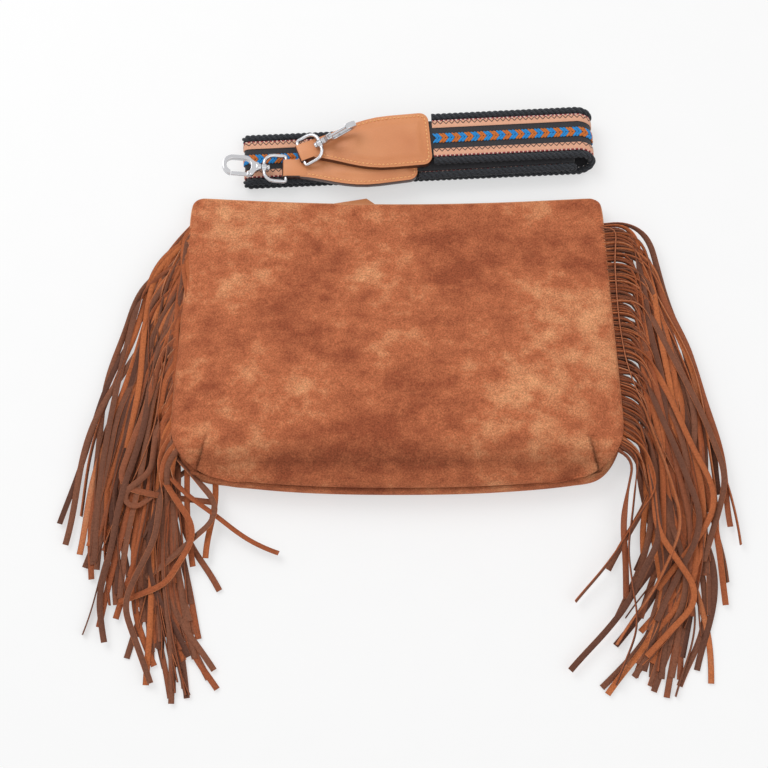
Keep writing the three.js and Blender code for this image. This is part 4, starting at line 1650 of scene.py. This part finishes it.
@dataclass
class Studio:
    """The floor, the lamps and the camera."""

    look_at: Trio = (-9.819, -30.643, 0.0)
    elevation: float = 74.0
    distance: float = 1200.0
    lens: float = 75.0
    sensor: float = 36.0
    floor_side: float = 9.0
    floor_glow: float = 0.5
    sky_seen: float = 1.0
    sky_light: float = 0.62

    def camera(self) -> None:
        """Adds the camera at the photograph's angle."""
        data = bpy.data.cameras.new("camera")
        data.lens = self.lens
        data.sensor_width = self.sensor
        data.clip_end = 50.0
        made = bpy.data.objects.new("camera", data)
        bpy.context.scene.collection.objects.link(made)
        target = Vector(self.look_at) * MM
        up = math.radians(self.elevation)
        made.location = target + Vector((0, -math.cos(up), math.sin(up))) * self.distance * MM
        made.rotation_euler = (target - made.location).to_track_quat("-Z", "Y").to_euler()
        bpy.context.scene.camera = made

    def lamp(self, name: str, place: Trio, side: float, power: float) -> None:
        """Adds one soft lamp that faces the bag.

        Args:
            name: Its name.
            place: Its place, in metres.
            side: Its side, in metres.
            power: Its power, in watts.
        """
        data = bpy.data.lights.new(name, "AREA")
        data.shape = "SQUARE"
        data.size = side
        data.energy = power
        made = bpy.data.objects.new(name, data)
        made.location = place
        made.rotation_euler = (-Vector(place)).to_track_quat("-Z", "Y").to_euler()
        bpy.context.scene.collection.objects.link(made)

    def seen_white(self, graph: Graph) -> Signal:
        """Marks the rays that see the background itself, or see it in a mirror or through glass.

        Args:
            graph: The floor's graph.

        Returns:
            1 for such rays, and 0 for others.
        """
        path = graph.node("ShaderNodeLightPath", output="Is Camera Ray")
        glossy = graph.node("ShaderNodeLightPath", output="Is Glossy Ray")
        through = graph.node("ShaderNodeLightPath", output="Is Transmission Ray")
        return path.math("MAXIMUM", glossy).math("MAXIMUM", through)

    def floor(self) -> None:
        """Adds the pale floor, which keeps the bag's shadow."""
        graph = Graph("pale_floor")
        grain = graph.noise(40.0, 2.0)
        colour = graph.ramp(grain, [(0.0, (0.90, 0.90, 0.90)), (1.0, (0.92, 0.92, 0.92))])
        matte = graph.node("ShaderNodeBsdfDiffuse", None, {"Color": colour})
        glow = graph.node("ShaderNodeEmission", None, {"Color": (1.0, 1.0, 1.0), "Strength": 1.0})
        share = self.seen_white(graph) * self.floor_glow
        surface = graph.node("ShaderNodeMixShader", None, {0: share, 1: matte, 2: glow})
        graph.node("ShaderNodeOutputMaterial", None, {0: surface})
        half = self.floor_side / 2
        mesh = bpy.data.meshes.new("floor")
        corners = [(-half, -half, 0), (half, -half, 0), (half, half, 0), (-half, half, 0)]
        mesh.from_pydata(corners, [], [(0, 1, 2, 3)])
        mesh.materials.append(graph.material)
        made = bpy.data.objects.new("floor", mesh)
        made.location.z = -0.0002
        bpy.context.scene.collection.objects.link(made)

    def world(self) -> None:
        """Adds the even light all round, seen as white."""
        made = bpy.data.worlds.new("studio")
        made.use_nodes = True
        bpy.context.scene.world = made
        tree = made.node_tree
        tree.nodes.clear()
        path = tree.nodes.new("ShaderNodeLightPath")
        seen = path.outputs["Is Camera Ray"]
        for other in ("Is Glossy Ray", "Is Transmission Ray"):
            either = tree.nodes.new("ShaderNodeMath")
            either.operation = "MAXIMUM"
            tree.links.new(seen, either.inputs[0])
            tree.links.new(path.outputs[other], either.inputs[1])
            seen = either.outputs[0]
        level = tree.nodes.new("ShaderNodeMapRange")
        level.inputs["To Min"].default_value = self.sky_light
        level.inputs["To Max"].default_value = self.sky_seen
        tree.links.new(seen, level.inputs["Value"])
        sky = tree.nodes.new("ShaderNodeBackground")
        sky.inputs["Color"].default_value = (1.0, 1.0, 1.0, 1.0)
        tree.links.new(level.outputs[0], sky.inputs["Strength"])
        out = tree.nodes.new("ShaderNodeOutputWorld")
        tree.links.new(sky.outputs[0], out.inputs[0])

    def build(self) -> None:
        """Builds the whole studio."""
        self.camera()
        self.floor()
        self.world()
        self.lamp("key_lamp", (-0.9, 0.9, 1.6), 1.2, 17.0)
        self.lamp("fill_lamp", (1.1, -0.7, 1.5), 1.6, 7.0)
        bpy.context.scene.view_settings.view_transform = "Standard"


@dataclass
class MouthPieces:
    """What lies in the mouth: the lining, the closing tab, the snap and the side rings."""

    bevel: float = 0.25
    snap_voxel: float = 0.25
    ring_voxel: float = 0.22

    def dress(self, node: str, finish: Finish) -> None:
        """Gives a frame node its finish.

        Args:
            node: The node.
            finish: Its finish.
        """
        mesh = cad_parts[node].data
        mesh.materials.clear()
        mesh.materials.append(finish.material)

    def build(self) -> None:
        """Builds and dresses every piece in the mouth."""
        for node in ("lining_back", "lining_front"):
            self.dress(node, Finish.LINING)
        for node in ("closing_tab", "ring_tab_left", "ring_tab_right"):
            painted_leather(node, f"{node}_leather", self.bevel, 30.0)
        for node in ("snap_socket", "snap_stud"):
            Casting(node, ROOT, self.snap_voxel, 3).build()
        for side in ("left", "right"):
            Casting(f"side_ring_{side}", f"ring_{side}", self.ring_voxel, 4).build()


def main() -> None:
    """Builds every sub-assembly in order."""
    Studio().build()
    SuedeShell("front_panel").build()
    SuedeShell("back_panel").build()
    BasePiping().build()
    MouthPieces().build()
    Fringe(
        "fringe_left", -1, start=(48, 56, 66), main=(74, 84, 90), end=(80, 93, 103), knee=(64, 36, 20),
        root_turn=(0.0, 0.7), strays=LEFT_STRAYS, seed=11, long_base=180, root_spread=12.0, spread=7.0,
    ).build()
    Fringe(
        "fringe_right", 1, start=(-8, 2, 32), main=(76, 74, 74), end=(86, 106, 122), knee=(44, 33, 26),
        root_turn=(0.9, 1.0), strays=RIGHT_STRAYS, seed=23, long_base=202,
    ).build()
    StrapCloth().build()
    LeatherEnd("upper", left=-64, layer=3, side_left=1.2, side_right=4.9).build()
    LeatherEnd("lower", left=-76, layer=2, side_left=-11.8, side_right=-4.2).build()
    for name in ("upper", "lower"):
        Casting(f"hook_eye_{name}", f"eye_{name}").build()
        Casting(f"hook_{name}", f"hook_{name}_body").build()
        Casting(f"gate_{name}", f"gate_{name}_body", 0.2, 3).build()
        Casting(f"gate_pin_{name}", f"hook_{name}_body", 0.15, 2).build()
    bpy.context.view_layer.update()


if __name__ == "__main__":
    main()
